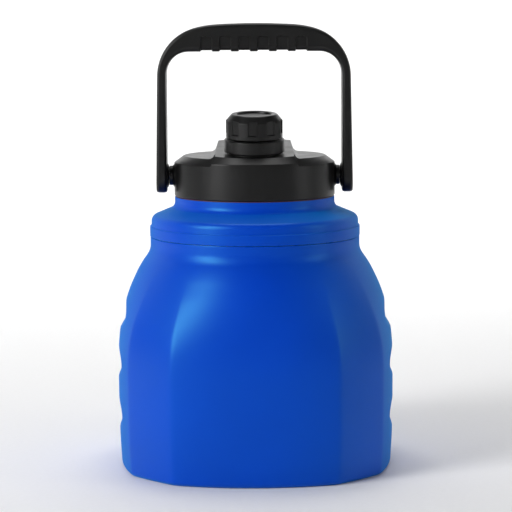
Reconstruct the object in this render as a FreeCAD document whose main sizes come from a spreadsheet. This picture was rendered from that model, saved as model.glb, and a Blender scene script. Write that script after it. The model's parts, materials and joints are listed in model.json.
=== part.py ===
import FreeCAD, Part
import math
import os

import Sketcher

# Large double-wall water jug, in millimetres. +Z is up, the front is towards -Y, and the origin is the
# centre of the ring that the jug stands on. Pieces are built closed: lid screwed down, cap screwed
# down, handle upright.

SIZES = {
    # steel jug
    "steel_wall": 0.8,
    "half_width": 96.8,
    "base_round": 3.2,
    "waist_start": 85.0,
    "dome_top": 150.5,
    "ring_radius": 73.5,
    "ring_overlap": 2.0,
    "inside_overlap": 1.0,
    "seam_height": 160.6,
    "band_radius": 73.6,
    "band_top": 167.6,
    "shoulder_radius": 72.5,
    "shoulder_round": 7.94,
    "shoulder_start": 169.314,
    "shoulder_turn_in": 4.877,
    "shoulder_turn_up": 7.325,
    "shoulder_inside_in": 5.186,
    "shoulder_inside_up": 6.587,
    "neck_radius": 56.0,
    "neck_start": 185.534,
    "neck_round": 6.06,
    "neck_turn_out": 3.722,
    "neck_turn_down": 5.59,
    "neck_inside_out": 3.414,
    "neck_inside_down": 6.329,
    "rim_height": 187.4,
    "lip_thickness": 1.0,
    # grip hollows in the two side faces
    "hollow_radius": 17.0,
    # inner vessel
    "liner_radius": 90.5,
    "liner_bottom": 8.0,
    "liner_corner": 16.0,
    "liner_straight": 88.0,
    "liner_ring_radius": 68.0,
    "liner_shoulder": 162.0,
    "liner_shoulder_round": 12.0,
    "mouth_radius": 51.0,
    "mouth_start": 178.0,
    "mouth_step": 0.6,
    "liner_dome_step": 0.3,
    # base
    "base_hole_radius": 80.0,
    "base_plate_radius": 81.0,
    "base_recess_radius": 66.0,
    "base_recess": 3.2,
    "base_slope": 2.0,
    "dimple_height": 1.4,
    "dimple_slope": 1.5,
    "slope_offset": 0.4,
    "seal_radius": 5.0,
    "seal_bulge": 1.0,
    "seal_gap": 0.4,
    "seal_edge_bulge": 0.8,
    "getter_radius": 9.0,
    "getter_height": 2.4,
    "getter_chamfer": 0.6,
    "getter_offset": 30.0,
    # mouth thread, two starts
    "mouth_lead": 12.0,
    "mouth_thread_height": 8.0,
    "mouth_thread_start": 175.5,
    "mouth_thread_depth": 1.5,
    "mouth_thread_root": 2.6,
    "mouth_thread_crest": 1.4,
    "thread_root": 0.2,
    # lid
    "lid_radius": 56.2,
    "lid_bottom": 189.0,
    "lid_wall": 2.8,
    "lid_edge": 0.8,
    "wall_top": 212.2,
    "deck_height": 217.0,
    "deck_radius": 49.5,
    "deck_thickness": 3.2,
    "deck_inner_step": 1.5,
    "roof_slope_width": 5.4,
    "plug_radius": 49.0,
    "plug_wall": 2.2,
    "plug_bottom": 163.0,
    "plug_chamfer": 3.0,
    "plug_inner_chamfer": 1.5,
    "plug_flange_bottom": 190.4,
    "plug_flange_top": 192.0,
    "foam_upper_radius": 46.0,
    "gasket_inner": 50.6,
    "gasket_outer": 53.0,
    "gasket_skirt": 55.6,
    # raised block on the lid
    "block_wall_top": 214.0,
    "block_foot": 30.0,
    "block_draft": 0.317,
    "block_base": 212.0,
    "block_ceiling": 232.0,
    "block_root": 0.4,
    "block_overlap": 2.0,
    # spout, collar and cap, measured along the leaning spout axis
    "spout_forward": 28.0,
    "spout_seat": 220.0,
    "spout_lean": 5.0,
    "spout_radius": 12.6,
    "spout_bore": 10.6,
    "spout_down": 58.0,
    "spout_up": 21.0,
    "spout_edge": 0.6,
    "spout_gasket_width": 4.4,
    "passage_up": 30.0,
    "passage_overrun": 4.0,
    "collar_radius": 20.8,
    "collar_start": 1.2,
    "collar_end": 10.4,
    "cap_radius": 19.45,
    "cap_start": 11.1,
    "cap_shoulder": 22.9,
    "cap_end": 27.5,
    "cap_flat_radius": 15.2,
    "cap_dish_radius": 11.6,
    "cap_dish_depth": 1.3,
    "cap_edge": 0.5,
    "cap_shoulder_width": 0.8,
    "cap_disc_thickness": 0.6,
    "cap_core_radius": 16.2,
    "cap_bore": 14.3,
    "insert_recess": 0.6,
    "cap_roof": 23.2,
    "cap_seal_radius": 13.6,
    "cap_seal_height": 1.2,
    "cap_lead": 4.0,
    "cap_thread_height": 5.0,
    "cap_thread_start": 13.0,
    "cap_thread_root": 1.8,
    "cap_thread_crest": 0.8,
    "spout_thread_depth": 1.3,
    "cap_thread_depth": 1.2,
    "pocket_width": 5.9,
    "pocket_depth": 1.2,
    "pocket_bottom": 14.4,
    "pocket_top": 23.9,
    "pocket_count": 9,
    "pocket_turn": -3.5,
    # handle
    "pivot_height": 202.9,
    "handle_depth": 24.2,
    "handle_top": 308.8,
    "crown_half_width": 26.9,
    "shoulder_x": 41.42,
    "shoulder_z": 305.62,
    "arm_top_x": 67.2,
    "arm_top_z": 272.6,
    "crown_corner": 71.8,
    "crown_radius": 452.0,
    "crown_drop": 0.8,
    "arm_corner": 34.9,
    "arm_bottom_x": 68.75,
    "arm_inner_x": 61.2,
    "grip_underside": 289.3,
    "inner_corner": 16.0,
    "eye_drop": 12.1,
    "eye_round": 12.0,
    "finger_pitch": 13.16,
    "finger_width": 7.87,
    "finger_top": 299.8,
    "finger_depth": 0.9,
    "finger_overrun": 1.0,
    "finger_chamfer": 1.6,
    # pivots
    "boss_radius": 6.84,
    "boss_inner_x": 52.6,
    "boss_outer_x": 59.6,
    "pin_radius": 2.5,
    "pin_head_radius": 4.2,
    "pin_head": 2.0,
    "pin_end_x": 66.0,
    "pin_edge": 0.5,
    "bush_clearance": 0.06,
    "bush_gap": 0.3,
    "bush_flange_radius": 8.4,
    "bush_flange_taper": 1.2,
    "bush_flange_edge": 0.4,
    "bush_radius": 5.0,
    "bush_end_x": 66.4,
}

FINGER_COUNT = 6
MOUTH_STARTS = 2

# Half width of the jug across its main faces, at heights from the base to the top of the dome.
BODY_HEIGHTS = (0.0, 8.0, 20.0, 38.0, 55.0, 85.0, 97.0, 107.0, 116.0, 125.0, 132.0, 139.0, 146.2, 150.5)
BODY_HALF_WIDTHS = (95.1, 95.6, 96.25, 96.65, 96.8, 96.45, 95.3, 93.6, 91.1, 88.0, 84.9, 81.4, 76.8, 73.5)

# Axes of the three level cylinders that press the grip hollows into a side face: height, then distance
# from the jug's middle plane.
HOLLOW_AXES = ((36.9, 110.4), (73.6, 110.3), (109.2, 107.1))

# Cross-section of the jug where it is fully faceted, for a half width of one: four bulged main faces
# joined by four narrow corner facets. Each face is a circle, given by how far it reaches and its radius.
FACE_REACH = 1.0
FACE_RADIUS = 1.811
FACET_REACH = 1.0625
FACET_RADIUS = 3.0
CREASE_SOFTNESS = 0.0035
CREASE_ANGLE = 33.2

# Where the section's curve is pinned, in degrees either side of each crease, closest at the crease.
TOWARDS_FACE = (0.0, 0.8, 2.2, 5.2, 11.2, 21.2)
TOWARDS_FACET = (0.8, 2.2, 5.3)

document = FreeCAD.newDocument("WaterJug")
sheet = document.addObject("Spreadsheet::Sheet", "Sizes")


class Size:
    """A length that keeps its value and its sheet expression together, through any sum."""

    def __init__(self, value, text):
        self.value = value
        self.text = text

    def __add__(self, other):
        other = as_size(other)
        return Size(self.value + other.value, f"({self.text} + {other.text})")

    def __sub__(self, other):
        other = as_size(other)
        return Size(self.value - other.value, f"({self.text} - {other.text})")

    def __mul__(self, other):
        other = as_size(other)
        return Size(self.value * other.value, f"({self.text} * {other.text})")

    def __truediv__(self, other):
        other = as_size(other)
        return Size(self.value / other.value, f"({self.text} / {other.text})")

    def __neg__(self):
        return Size(-self.value, f"(0 - {self.text})")


def as_size(number):
    if isinstance(number, Size):
        return number
    return Size(float(number), str(number))


def size(alias):
    return Size(float(sheet.get(alias)), f"Sizes.{alias}")


def bind(item, prop, length):
    item.setExpression(prop, as_size(length).text)


def origin_feature(body, role):
    return next(item for item in body.Origin.OriginFeatures if item.Role == role)


def new_sketch(body, name, plane="XZ_Plane"):
    sketch = body.newObject("Sketcher::SketchObject", name)
    sketch.AttachmentSupport = [(origin_feature(body, plane), "")]
    sketch.MapMode = "FlatFace"
    return sketch


def arc_through(first, second, radius, side):
    """The shorter arc between two points, with its centre left of the way between them if side is 1."""
    across = second - first
    rise = math.sqrt(radius ** 2 - across.Length ** 2 / 4)
    left = FreeCAD.Vector(-across.y, across.x, 0).normalize()
    centre = (first + second) / 2 + left * (rise * side)
    start, end = (first, second) if side > 0 else (second, first)
    start_angle = math.atan2(start.y - centre.y, start.x - centre.x)
    end_angle = math.atan2(end.y - centre.y, end.x - centre.x)
    if end_angle < start_angle:
        end_angle += 2 * math.pi
    circle = Part.Circle(centre, FreeCAD.Vector(0, 0, 1), radius)
    return Part.ArcOfCircle(circle, start_angle, end_angle)


def hold_coordinate(sketch, kind, axis, geometry, end, length):
    """Fix one coordinate of a sketch point, measured from the sketch's origin, to a sheet expression."""
    if abs(length.value) < 1e-9:
        sketch.addConstraint(Sketcher.Constraint("PointOnObject", geometry, end, axis))
        return
    if length.value > 0:
        constraint = Sketcher.Constraint(kind, -1, 1, geometry, end, length.value)
    else:
        length = -length
        constraint = Sketcher.Constraint(kind, geometry, end, -1, 1, length.value)
    index = sketch.addConstraint(constraint)
    sketch.setExpression(f"Constraints[{index}]", length.text)


def draw_outline(sketch, corners):
    """Draw a closed outline. A corner is (x, y), or (x, y, radius, side) when an arc leaves it."""
    corners = [tuple(as_size(entry) for entry in corner) for corner in corners]
    points = [FreeCAD.Vector(corner[0].value, corner[1].value, 0) for corner in corners]
    geometry = []
    ends = []
    for index, corner in enumerate(corners):
        first = points[index]
        second = points[(index + 1) % len(points)]
        if len(corner) == 2:
            geometry.append(Part.LineSegment(first, second))
            ends.append((1, 2))
        else:
            side = corner[3].value
            geometry.append(arc_through(first, second, corner[2].value, side))
            ends.append((1, 2) if side > 0 else (2, 1))
    sketch.addGeometry(geometry, False)
    for index, corner in enumerate(corners):
        following = (index + 1) % len(corners)
        joint = Sketcher.Constraint("Coincident", index, ends[index][1], following, ends[following][0])
        sketch.addConstraint(joint)
        hold_coordinate(sketch, "DistanceX", -2, index, ends[index][0], corner[0])
        hold_coordinate(sketch, "DistanceY", -1, index, ends[index][0], corner[1])
        if len(corner) == 4:
            arc = sketch.addConstraint(Sketcher.Constraint("Radius", index, corner[2].value))
            sketch.setExpression(f"Constraints[{arc}]", corner[2].text)


def turned_body(name, corners):
    """A piece turned about its own Z axis from a half outline of (radius, height) corners."""
    body = document.addObject("PartDesign::Body", name)
    body.Label = name
    sketch = new_sketch(body, f"{name}_outline")
    draw_outline(sketch, corners)
    turning = body.newObject("PartDesign::Revolution", f"{name}_turning")
    turning.Profile = sketch
    turning.ReferenceAxis = (sketch, ["V_Axis"])
    turning.Angle = 360
    return body


def add_thread(body, name, wall, crest, start, root_width, crest_width, lead, height, starts):
    """A helical ridge on a turned piece, right-handed, from the wall radius out or in to the crest."""
    profile = new_sketch(body, f"{name}_profile")
    corners = [
        (wall, start - root_width / 2),
        (crest, start - crest_width / 2),
        (crest, start + crest_width / 2),
        (wall, start + root_width / 2),
    ]
    draw_outline(profile, corners)
    ridge = body.newObject("PartDesign::AdditiveHelix", f"{name}_ridge")
    ridge.Profile = profile
    ridge.ReferenceAxis = (profile, ["V_Axis"])
    ridge.Mode = "pitch-height-angle"
    bind(ridge, "Pitch", lead)
    bind(ridge, "Height", height)
    document.recompute()
    if starts > 1:
        pattern = body.newObject("PartDesign::PolarPattern", f"{name}_starts")
        pattern.Originals = [ridge]
        pattern.Axis = (profile, ["V_Axis"])
        pattern.Angle = 360
        pattern.Occurrences = starts
        body.Tip = pattern


def place(item, x, y, z, axis=(0, 0, 1), angle=0.0):
    """Give an object its Placement, with the position bound to the sheet."""
    position = [as_size(entry) for entry in (x, y, z)]
    turn = FreeCAD.Rotation(FreeCAD.Vector(*axis), as_size(angle).value)
    item.Placement = FreeCAD.Placement(FreeCAD.Vector(*[entry.value for entry in position]), turn)
    for letter, entry in zip("xyz", position):
        item.setExpression(f".Placement.Base.{letter}", entry.text)
    if isinstance(angle, Size):
        item.setExpression(".Placement.Rotation.Angle", angle.text)


def on_spout_axis(item):
    """Stand a piece that was turned about Z on the leaning spout axis."""
    place(item, 0, -size("spout_forward"), size("spout_seat"), (1, 0, 0), size("spout_lean"))


def cylinder(name, radius, height):
    item = document.addObject("Part::Cylinder", name)
    bind(item, "Radius", radius)
    bind(item, "Height", height)
    return item


def cylinder_along_x(name, radius, start, end):
    item = cylinder(name, radius, end - start)
    place(item, start, 0, size("pivot_height"), (0, 1, 0), 90)
    return item


def fuse(name, shapes):
    item = document.addObject("Part::MultiFuse", name)
    item.Shapes = shapes
    return item


def cut(name, base, tool):
    item = document.addObject("Part::Cut", name)
    item.Base = base
    item.Tool = tool
    item.Label = name
    return item


def polar_reach(angle, reach, radius):
    """Distance from the axis to a circular face, seen at an angle from that face's middle."""
    centre = reach - radius
    return centre * math.cos(angle) + math.sqrt(radius ** 2 - (centre * math.sin(angle)) ** 2)


def faceted_reach(angle):
    """Radius of the faceted section for a half width of one, with softened creases."""
    quarter = math.pi / 2
    from_face = (angle + quarter / 2) % quarter - quarter / 2
    from_facet = angle % quarter - quarter / 2
    face = polar_reach(from_face, FACE_REACH, FACE_RADIUS)
    facet = polar_reach(from_facet, FACET_REACH, FACET_RADIUS)
    gap = math.hypot(face - facet, 2 * CREASE_SOFTNESS)
    return (face + facet - gap) / 2


def facet_share(height):
    """How faceted the section is: one up to the waist, easing to zero at the top of the dome."""
    low = size("waist_start").value
    high = size("dome_top").value
    step = min(max((height - low) / (high - low), 0.0), 1.0)
    return 1 - step * step * (3 - 2 * step)


def section_angles():
    """Angles round the section in degrees, counted from the right face's middle."""
    half = [45.0]
    half += [CREASE_ANGLE + step for step in TOWARDS_FACET]
    half += [CREASE_ANGLE - step for step in TOWARDS_FACE]
    quarter = sorted(half + [0.0] + [-angle for angle in half[1:]])
    return [turn * 90.0 + angle for turn in range(4) for angle in quarter]


def body_section(name, height, half_width):
    """One closed cross-section of the jug's outer shell."""
    share = facet_share(height)
    points = []
    for degrees in section_angles():
        angle = math.radians(degrees)
        reach = half_width * (1 - share + share * faceted_reach(angle))
        points.append(FreeCAD.Vector(reach * math.cos(angle), reach * math.sin(angle), height))
    curve = Part.BSplineCurve()
    curve.interpolate(Points=points, PeriodicFlag=True)
    section = document.addObject("Part::Feature", name)
    section.Shape = Part.Wire([curve.toShape()])
    return section


def body_loft(name, inset, floor):
    """The jug's faceted outside up to the top of the dome, moved in by a wall, from a floor height up."""
    sections = []
    for height, half_width in zip(BODY_HEIGHTS, BODY_HALF_WIDTHS):
        level = max(height, floor)
        sections.append(body_section(f"{name}_{len(sections)}", level, half_width - inset))
    loft = document.addObject("Part::Loft", name)
    loft.Sections = sections
    loft.Solid = True
    return loft


def hollow_cutters(name, extra):
    """Six level cylinders that press the grip hollows into the two side faces."""
    radius = size("hollow_radius") + extra
    length = size("half_width") * 2
    cutters = []
    for height, distance in HOLLOW_AXES:
        for side in (-1, 1):
            cutter = cylinder(f"{name}_{len(cutters)}", radius, length)
            place(cutter, distance * side, size("half_width"), height, (1, 0, 0), 90)
            cutters.append(cutter)
    return fuse(name, cutters)


def rounded_base(name, loft, radius):
    """Round the edge round the foot of a jug loft."""
    document.recompute()
    rounding = document.addObject("Part::Fillet", name)
    rounding.Base = loft
    foot = min(loft.Shape.Faces, key=lambda face: face.CenterOfMass.z)
    numbers = [
        index + 1
        for index, edge in enumerate(loft.Shape.Edges)
        if any(edge.isSame(rim) for rim in foot.Edges)
    ]
    rounding.Edges = [(number, radius.value, radius.value) for number in numbers]
    return rounding


def make_body_shell():
    """Outer steel shell: faceted dome, round ring above it and a turned-in foot, all one wall thick."""
    wall = size("steel_wall")
    outside_loft = body_loft("outside_loft", 0.0, 0.0)
    inside_loft = body_loft("inside_loft", wall.value, wall.value)
    ring_foot = size("dome_top") - size("ring_overlap")
    inside_foot = ring_foot - size("inside_overlap")
    ring_height = size("seam_height") - ring_foot
    inside_height = size("seam_height") + size("inside_overlap") - inside_foot
    outside_ring = cylinder("outside_ring", size("ring_radius"), ring_height)
    place(outside_ring, 0, 0, ring_foot)
    inside_ring = cylinder("inside_ring", size("ring_radius") - wall, inside_height)
    place(inside_ring, 0, 0, inside_foot)
    base_hole = cylinder("base_hole", size("base_hole_radius"), size("base_round"))
    place(base_hole, 0, 0, -wall)
    outside = rounded_base("outside_foot", outside_loft, size("base_round"))
    inside = rounded_base("inside_foot", inside_loft, size("base_round") - wall)
    outside_hollowed = cut("outside_hollowed", outside, hollow_cutters("outside_hollows", 0))
    inside_hollowed = cut("inside_hollowed", inside, hollow_cutters("inside_hollows", wall))
    solid = fuse("shell_solid", [outside_hollowed, outside_ring])
    space = fuse("shell_space", [inside_hollowed, inside_ring, base_hole])
    return cut("body_shell", solid, space)


def make_shoulder_shell():
    """Upper steel shell: joint band, rounded shoulder and neck."""
    wall = size("steel_wall")
    ring = size("shoulder_radius")
    start = size("shoulder_start")
    neck = size("neck_radius")
    rim = size("rim_height") + size("lip_thickness")
    inside_x = ring - size("shoulder_inside_in")
    inside_z = start + size("shoulder_inside_up")
    return turned_body("shoulder_shell", [
        (ring - wall, size("seam_height")),
        (size("band_radius"), size("seam_height")),
        (size("band_radius"), size("band_top")),
        (ring, size("band_top")),
        (ring, start, size("shoulder_round"), 1),
        (ring - size("shoulder_turn_in"), start + size("shoulder_turn_up")),
        (neck + size("neck_turn_out"), size("neck_start") - size("neck_turn_down"), size("neck_round"), -1),
        (neck, size("neck_start")),
        (neck, rim),
        (neck - wall, rim),
        (neck - wall, size("neck_start"), size("neck_round") + wall, 1),
        (neck + size("neck_inside_out"), size("neck_start") - size("neck_inside_down")),
        (inside_x, inside_z, size("shoulder_round") - wall, -1),
        (ring - wall, start),
    ])


def make_liner():
    """Inner vessel, with the lip that closes the neck and the mouth's internal thread."""
    wall = size("steel_wall")
    radius = size("liner_radius")
    bottom = size("liner_bottom")
    corner = size("liner_corner")
    straight = size("liner_straight")
    ring = size("liner_ring_radius")
    dome_top = size("dome_top")
    shoulder = size("liner_shoulder")
    bend = size("liner_shoulder_round")
    mouth = size("mouth_radius")
    rim = size("rim_height")
    lip = rim + size("lip_thickness")
    sweep_in = radius - ring
    sweep_up = dome_top - straight
    dome = (sweep_in * sweep_in + sweep_up * sweep_up) / (sweep_in * 2)
    inner_dome_top = dome_top - size("liner_dome_step")
    body = turned_body("inner_liner", [
        (0, bottom),
        (radius - corner, bottom, corner, 1),
        (radius, bottom + corner),
        (radius, straight, dome, 1),
        (ring, dome_top),
        (ring, shoulder, bend, 1),
        (ring - bend, shoulder + bend),
        (mouth + wall, size("mouth_start")),
        (mouth + wall, rim),
        (size("neck_radius") - wall, rim),
        (size("neck_radius") - wall, lip),
        (mouth, lip),
        (mouth, size("mouth_start") - size("mouth_step")),
        (ring - bend, shoulder + bend - wall, bend - wall, -1),
        (ring - wall, shoulder),
        (ring - wall, inner_dome_top, dome, -1),
        (radius - wall, straight),
        (radius - wall, bottom + corner, corner - wall, -1),
        (radius - corner, bottom + wall),
        (0, bottom + wall),
    ])
    document.recompute()
    add_thread(
        body, "mouth_thread", mouth + size("thread_root"), mouth - size("mouth_thread_depth"),
        size("mouth_thread_start"), size("mouth_thread_root"), size("mouth_thread_crest"),
        size("mouth_lead"), size("mouth_thread_height"), MOUTH_STARTS,
    )
    return body


def make_base_plate():
    """Recessed bottom plate with the pump-out dimple in its middle."""
    wall = size("steel_wall")
    seal = size("seal_radius")
    recess = size("base_recess")
    recess_radius = size("base_recess_radius")
    dimple = recess + size("dimple_height")
    dimple_foot = seal + size("dimple_slope")
    slope = size("base_slope")
    offset = size("slope_offset")
    return turned_body("base_plate", [
        (0, dimple),
        (seal, dimple),
        (dimple_foot, recess),
        (recess_radius - slope, recess),
        (recess_radius + slope, wall),
        (size("base_plate_radius"), wall),
        (size("base_plate_radius"), wall * 2),
        (recess_radius + slope + offset, wall * 2),
        (recess_radius - slope + offset, recess + wall),
        (dimple_foot + offset, recess + wall),
        (seal + offset, dimple + wall),
        (0, dimple + wall),
    ])


def make_vacuum_seal():
    """Bead that closes the pump-out dimple."""
    top = size("base_recess") + size("dimple_height")
    bulge = size("seal_bulge")
    gap = size("seal_gap")
    return turned_body("vacuum_seal_bead", [
        (0, top - bulge),
        (size("seal_radius") - gap * 2, top - bulge * size("seal_edge_bulge")),
        (size("seal_radius") - gap, top),
        (0, top),
    ])


def make_getter():
    """Gas-absorbing puck on the base plate, in the vacuum space."""
    floor = size("base_recess") + size("steel_wall")
    radius = size("getter_radius")
    height = size("getter_height")
    chamfer = size("getter_chamfer")
    body = turned_body("vacuum_getter", [
        (0, floor),
        (radius, floor),
        (radius, floor + height - chamfer),
        (radius - chamfer, floor + height),
        (0, floor + height),
    ])
    place(body, size("getter_offset"), 0, 0)
    return body


def make_lid_shell(spout_passage):
    """Lid moulding: drum with low side decks, a raised block that slopes forward and two pivot bosses."""
    radius = size("lid_radius")
    inner = radius - size("lid_wall")
    deck = size("deck_height")
    roof = deck - size("deck_thickness")
    slope = (deck - size("wall_top")) / (radius - size("deck_radius"))
    drum = turned_body("lid_drum", [
        (inner, size("lid_bottom")),
        (radius - size("lid_edge"), size("lid_bottom")),
        (radius, size("lid_bottom") + size("lid_edge")),
        (radius, size("wall_top")),
        (size("deck_radius"), deck),
        (0, deck),
        (0, roof),
        (size("deck_radius") - size("deck_inner_step"), roof),
        (inner, roof - slope * size("roof_slope_width")),
    ])
    peak_radius = size("deck_radius") / 2
    peak = size("block_wall_top") + slope * (radius - peak_radius)
    block_floor = roof + size("block_root")
    dome = turned_body("block_dome", [
        (0, block_floor),
        (inner, block_floor),
        (radius, block_floor - size("block_overlap")),
        (radius, size("block_wall_top")),
        (peak_radius, peak),
        (0, peak),
    ])
    foot = size("block_foot")
    head = foot - size("block_draft") * (size("block_ceiling") - size("block_base"))
    wedge_foot = size("block_base") - size("block_overlap")
    wedge = document.addObject("PartDesign::Body", "block_wedge")
    wedge_sketch = new_sketch(wedge, "block_wedge_outline")
    draw_outline(wedge_sketch, [
        (-foot, wedge_foot),
        (foot, wedge_foot),
        (head, size("block_ceiling")),
        (-head, size("block_ceiling")),
    ])
    wedge_pad = wedge.newObject("PartDesign::Pad", "block_wedge_pad")
    wedge_pad.Profile = wedge_sketch
    wedge_pad.Midplane = True
    bind(wedge_pad, "Length", (radius + size("block_overlap")) * 2)
    above = cylinder("above_block", radius * 2, (size("block_ceiling") - size("block_base")) * 2)
    on_spout_axis(above)
    block_full = document.addObject("Part::MultiCommon", "block_full")
    block_full.Shapes = [dome, wedge]
    block = cut("raised_block", block_full, above)
    bosses = []
    for side, name in ((-1, "boss_left"), (1, "boss_right")):
        ends = sorted((size("boss_inner_x") * side, size("boss_outer_x") * side), key=lambda end: end.value)
        bosses.append(cylinder_along_x(name, size("boss_radius"), *ends))
    pin_bore = cylinder_along_x("pin_bore", size("pin_radius"), -size("pin_end_x"), size("pin_end_x"))
    solid = fuse("lid_solid", [drum, block] + bosses)
    openings = fuse("lid_openings", [pin_bore, spout_passage])
    return cut("lid_shell", solid, openings)


def make_lid_plug(spout_passage):
    """Threaded plug that fills the mouth, with the flange that presses on the gasket."""
    outer = size("plug_radius")
    inner = outer - size("plug_wall")
    flange = size("lid_radius") - size("lid_wall")
    floor = size("plug_bottom")
    chamfer = size("plug_chamfer")
    inner_chamfer = size("plug_inner_chamfer")
    cup = turned_body("plug_cup", [
        (0, floor),
        (outer - chamfer, floor),
        (outer, floor + chamfer),
        (outer, size("plug_flange_bottom")),
        (flange, size("plug_flange_bottom")),
        (flange, size("plug_flange_top")),
        (inner, size("plug_flange_top")),
        (inner, floor + size("plug_wall") + inner_chamfer),
        (inner - inner_chamfer, floor + size("plug_wall")),
        (0, floor + size("plug_wall")),
    ])
    document.recompute()
    half_pitch = size("mouth_lead") / (2 * MOUTH_STARTS)
    add_thread(
        cup, "plug_thread", outer - size("thread_root"), outer + size("mouth_thread_depth"),
        size("mouth_thread_start") - half_pitch, size("mouth_thread_root"), size("mouth_thread_crest"),
        size("mouth_lead"), size("mouth_thread_height"), MOUTH_STARTS,
    )
    return cut("lid_plug", cup, spout_passage)


def make_lid_insulation(spout_passage):
    """Foam that fills the plug and the space under the deck."""
    inner = size("plug_radius") - size("plug_wall")
    floor = size("plug_bottom") + size("plug_wall")
    top = size("deck_height") - size("deck_thickness")
    chamfer = size("plug_inner_chamfer")
    foam = turned_body("foam_block", [
        (0, floor),
        (inner - chamfer, floor),
        (inner, floor + chamfer),
        (inner, size("plug_flange_top")),
        (size("foam_upper_radius"), size("plug_flange_top")),
        (size("foam_upper_radius"), top),
        (0, top),
    ])
    return cut("lid_insulation", foam, spout_passage)


def make_lid_gasket():
    """Silicone ring between the plug's flange and the jug's lip, with a thin skirt under the lid's edge."""
    lip = size("rim_height") + size("lip_thickness")
    return turned_body("lid_gasket", [
        (size("gasket_inner"), lip),
        (size("gasket_skirt"), lip),
        (size("gasket_skirt"), size("lid_bottom")),
        (size("gasket_outer"), size("lid_bottom")),
        (size("gasket_outer"), size("plug_flange_bottom")),
        (size("gasket_inner"), size("plug_flange_bottom")),
    ])


def make_spout_tube():
    """Drinking spout: a straight tube down through the lid, threaded at its top."""
    radius = size("spout_radius")
    top = size("spout_up")
    edge = size("spout_edge")
    body = turned_body("spout_tube", [
        (size("spout_bore"), -size("spout_down")),
        (radius, -size("spout_down")),
        (radius, top - edge),
        (radius - edge, top),
        (size("spout_bore") + edge, top),
        (size("spout_bore"), top - edge),
    ])
    document.recompute()
    add_thread(
        body, "spout_thread", radius - size("thread_root"), radius + size("spout_thread_depth"),
        size("cap_thread_start"), size("cap_thread_root"), size("cap_thread_crest"),
        size("cap_lead"), size("cap_thread_height"), 1,
    )
    on_spout_axis(body)
    return body


def make_spout_collar():
    """Ring round the foot of the spout, with the cap just above it."""
    radius = size("collar_radius")
    edge = size("lid_edge")
    body = turned_body("spout_collar", [
        (size("spout_radius"), size("collar_start")),
        (radius - edge, size("collar_start")),
        (radius, size("collar_start") + edge),
        (radius, size("collar_end") - edge),
        (radius - edge, size("collar_end")),
        (size("spout_radius"), size("collar_end")),
    ])
    on_spout_axis(body)
    return body


def make_spout_gasket():
    """Rubber ring that seals the spout where it leaves the lid, under the collar."""
    radius = size("spout_radius")
    outer = radius + size("spout_gasket_width")
    body = turned_body("spout_gasket", [
        (radius, 0),
        (outer, 0),
        (outer, size("collar_start")),
        (radius, size("collar_start")),
    ])
    on_spout_axis(body)
    return body


def make_cap_shell():
    """Cap skirt with nine grip pockets and a dished top."""
    radius = size("cap_radius")
    core = size("cap_core_radius")
    dish = size("cap_dish_radius")
    dish_floor = size("cap_end") - size("cap_dish_depth") - size("cap_disc_thickness")
    edge = size("cap_edge")
    body = turned_body("cap_shell", [
        (core, size("cap_start")),
        (radius - edge, size("cap_start")),
        (radius, size("cap_start") + edge),
        (radius, size("cap_shoulder")),
        (size("cap_flat_radius") + size("cap_shoulder_width"), size("cap_end") - edge),
        (size("cap_flat_radius"), size("cap_end")),
        (dish, size("cap_end")),
        (dish, dish_floor),
        (0, dish_floor),
        (0, size("cap_roof")),
        (core, size("cap_roof")),
    ])
    document.recompute()
    turning = body.Tip
    sketch = new_sketch(body, "pocket_outline")
    half_width = size("pocket_width") / 2
    draw_outline(sketch, [
        (-half_width, size("pocket_bottom")),
        (half_width, size("pocket_bottom")),
        (half_width, size("pocket_top")),
        (-half_width, size("pocket_top")),
    ])
    sketch.setExpression(".AttachmentOffset.Base.z", (radius - size("pocket_depth")).text)
    pocket = body.newObject("PartDesign::Pocket", "grip_pocket")
    pocket.Profile = sketch
    pocket.Reversed = True
    bind(pocket, "Length", size("pocket_depth") * 2)
    document.recompute()
    if pocket.Shape.Volume >= turning.Shape.Volume:
        raise RuntimeError("the grip pocket does not cut the cap")
    pattern = body.newObject("PartDesign::PolarPattern", "grip_pockets")
    pattern.Originals = [pocket]
    pattern.Axis = (origin_feature(body, "Z_Axis"), [""])
    pattern.Angle = 360
    pattern.Occurrences = int(size("pocket_count").value)
    body.Tip = pattern
    on_spout_axis(body)
    lean = FreeCAD.Rotation(FreeCAD.Vector(1, 0, 0), size("spout_lean").value)
    spin = FreeCAD.Rotation(FreeCAD.Vector(0, 0, 1), size("pocket_turn").value)
    body.setExpression(".Placement.Rotation.Angle", None)
    body.Placement.Rotation = lean.multiply(spin)
    return body


def make_cap_disc():
    """Thin disc set in the cap's dish."""
    top = size("cap_end") - size("cap_dish_depth")
    bottom = top - size("cap_disc_thickness")
    body = turned_body("cap_disc", [
        (0, bottom),
        (size("cap_dish_radius"), bottom),
        (size("cap_dish_radius"), top),
        (0, top),
    ])
    on_spout_axis(body)
    return body


def make_cap_insert():
    """Threaded sleeve inside the cap."""
    core = size("cap_core_radius")
    bore = size("cap_bore")
    start = size("cap_start") + size("insert_recess")
    body = turned_body("cap_thread_insert", [
        (bore, start),
        (core, start),
        (core, size("cap_roof")),
        (bore, size("cap_roof")),
    ])
    document.recompute()
    add_thread(
        body, "cap_thread", bore + size("thread_root"), bore - size("cap_thread_depth"),
        size("cap_thread_start") + size("cap_lead") / 2, size("cap_thread_root"), size("cap_thread_crest"),
        size("cap_lead"), size("cap_thread_height"), 1,
    )
    on_spout_axis(body)
    return body


def make_cap_seal():
    """Silicone disc that the cap presses on the spout's rim."""
    top = size("spout_up")
    radius = size("cap_seal_radius")
    body = turned_body("cap_seal", [
        (0, top),
        (radius, top),
        (radius, top + size("cap_seal_height")),
        (0, top + size("cap_seal_height")),
    ])
    on_spout_axis(body)
    return body


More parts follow.
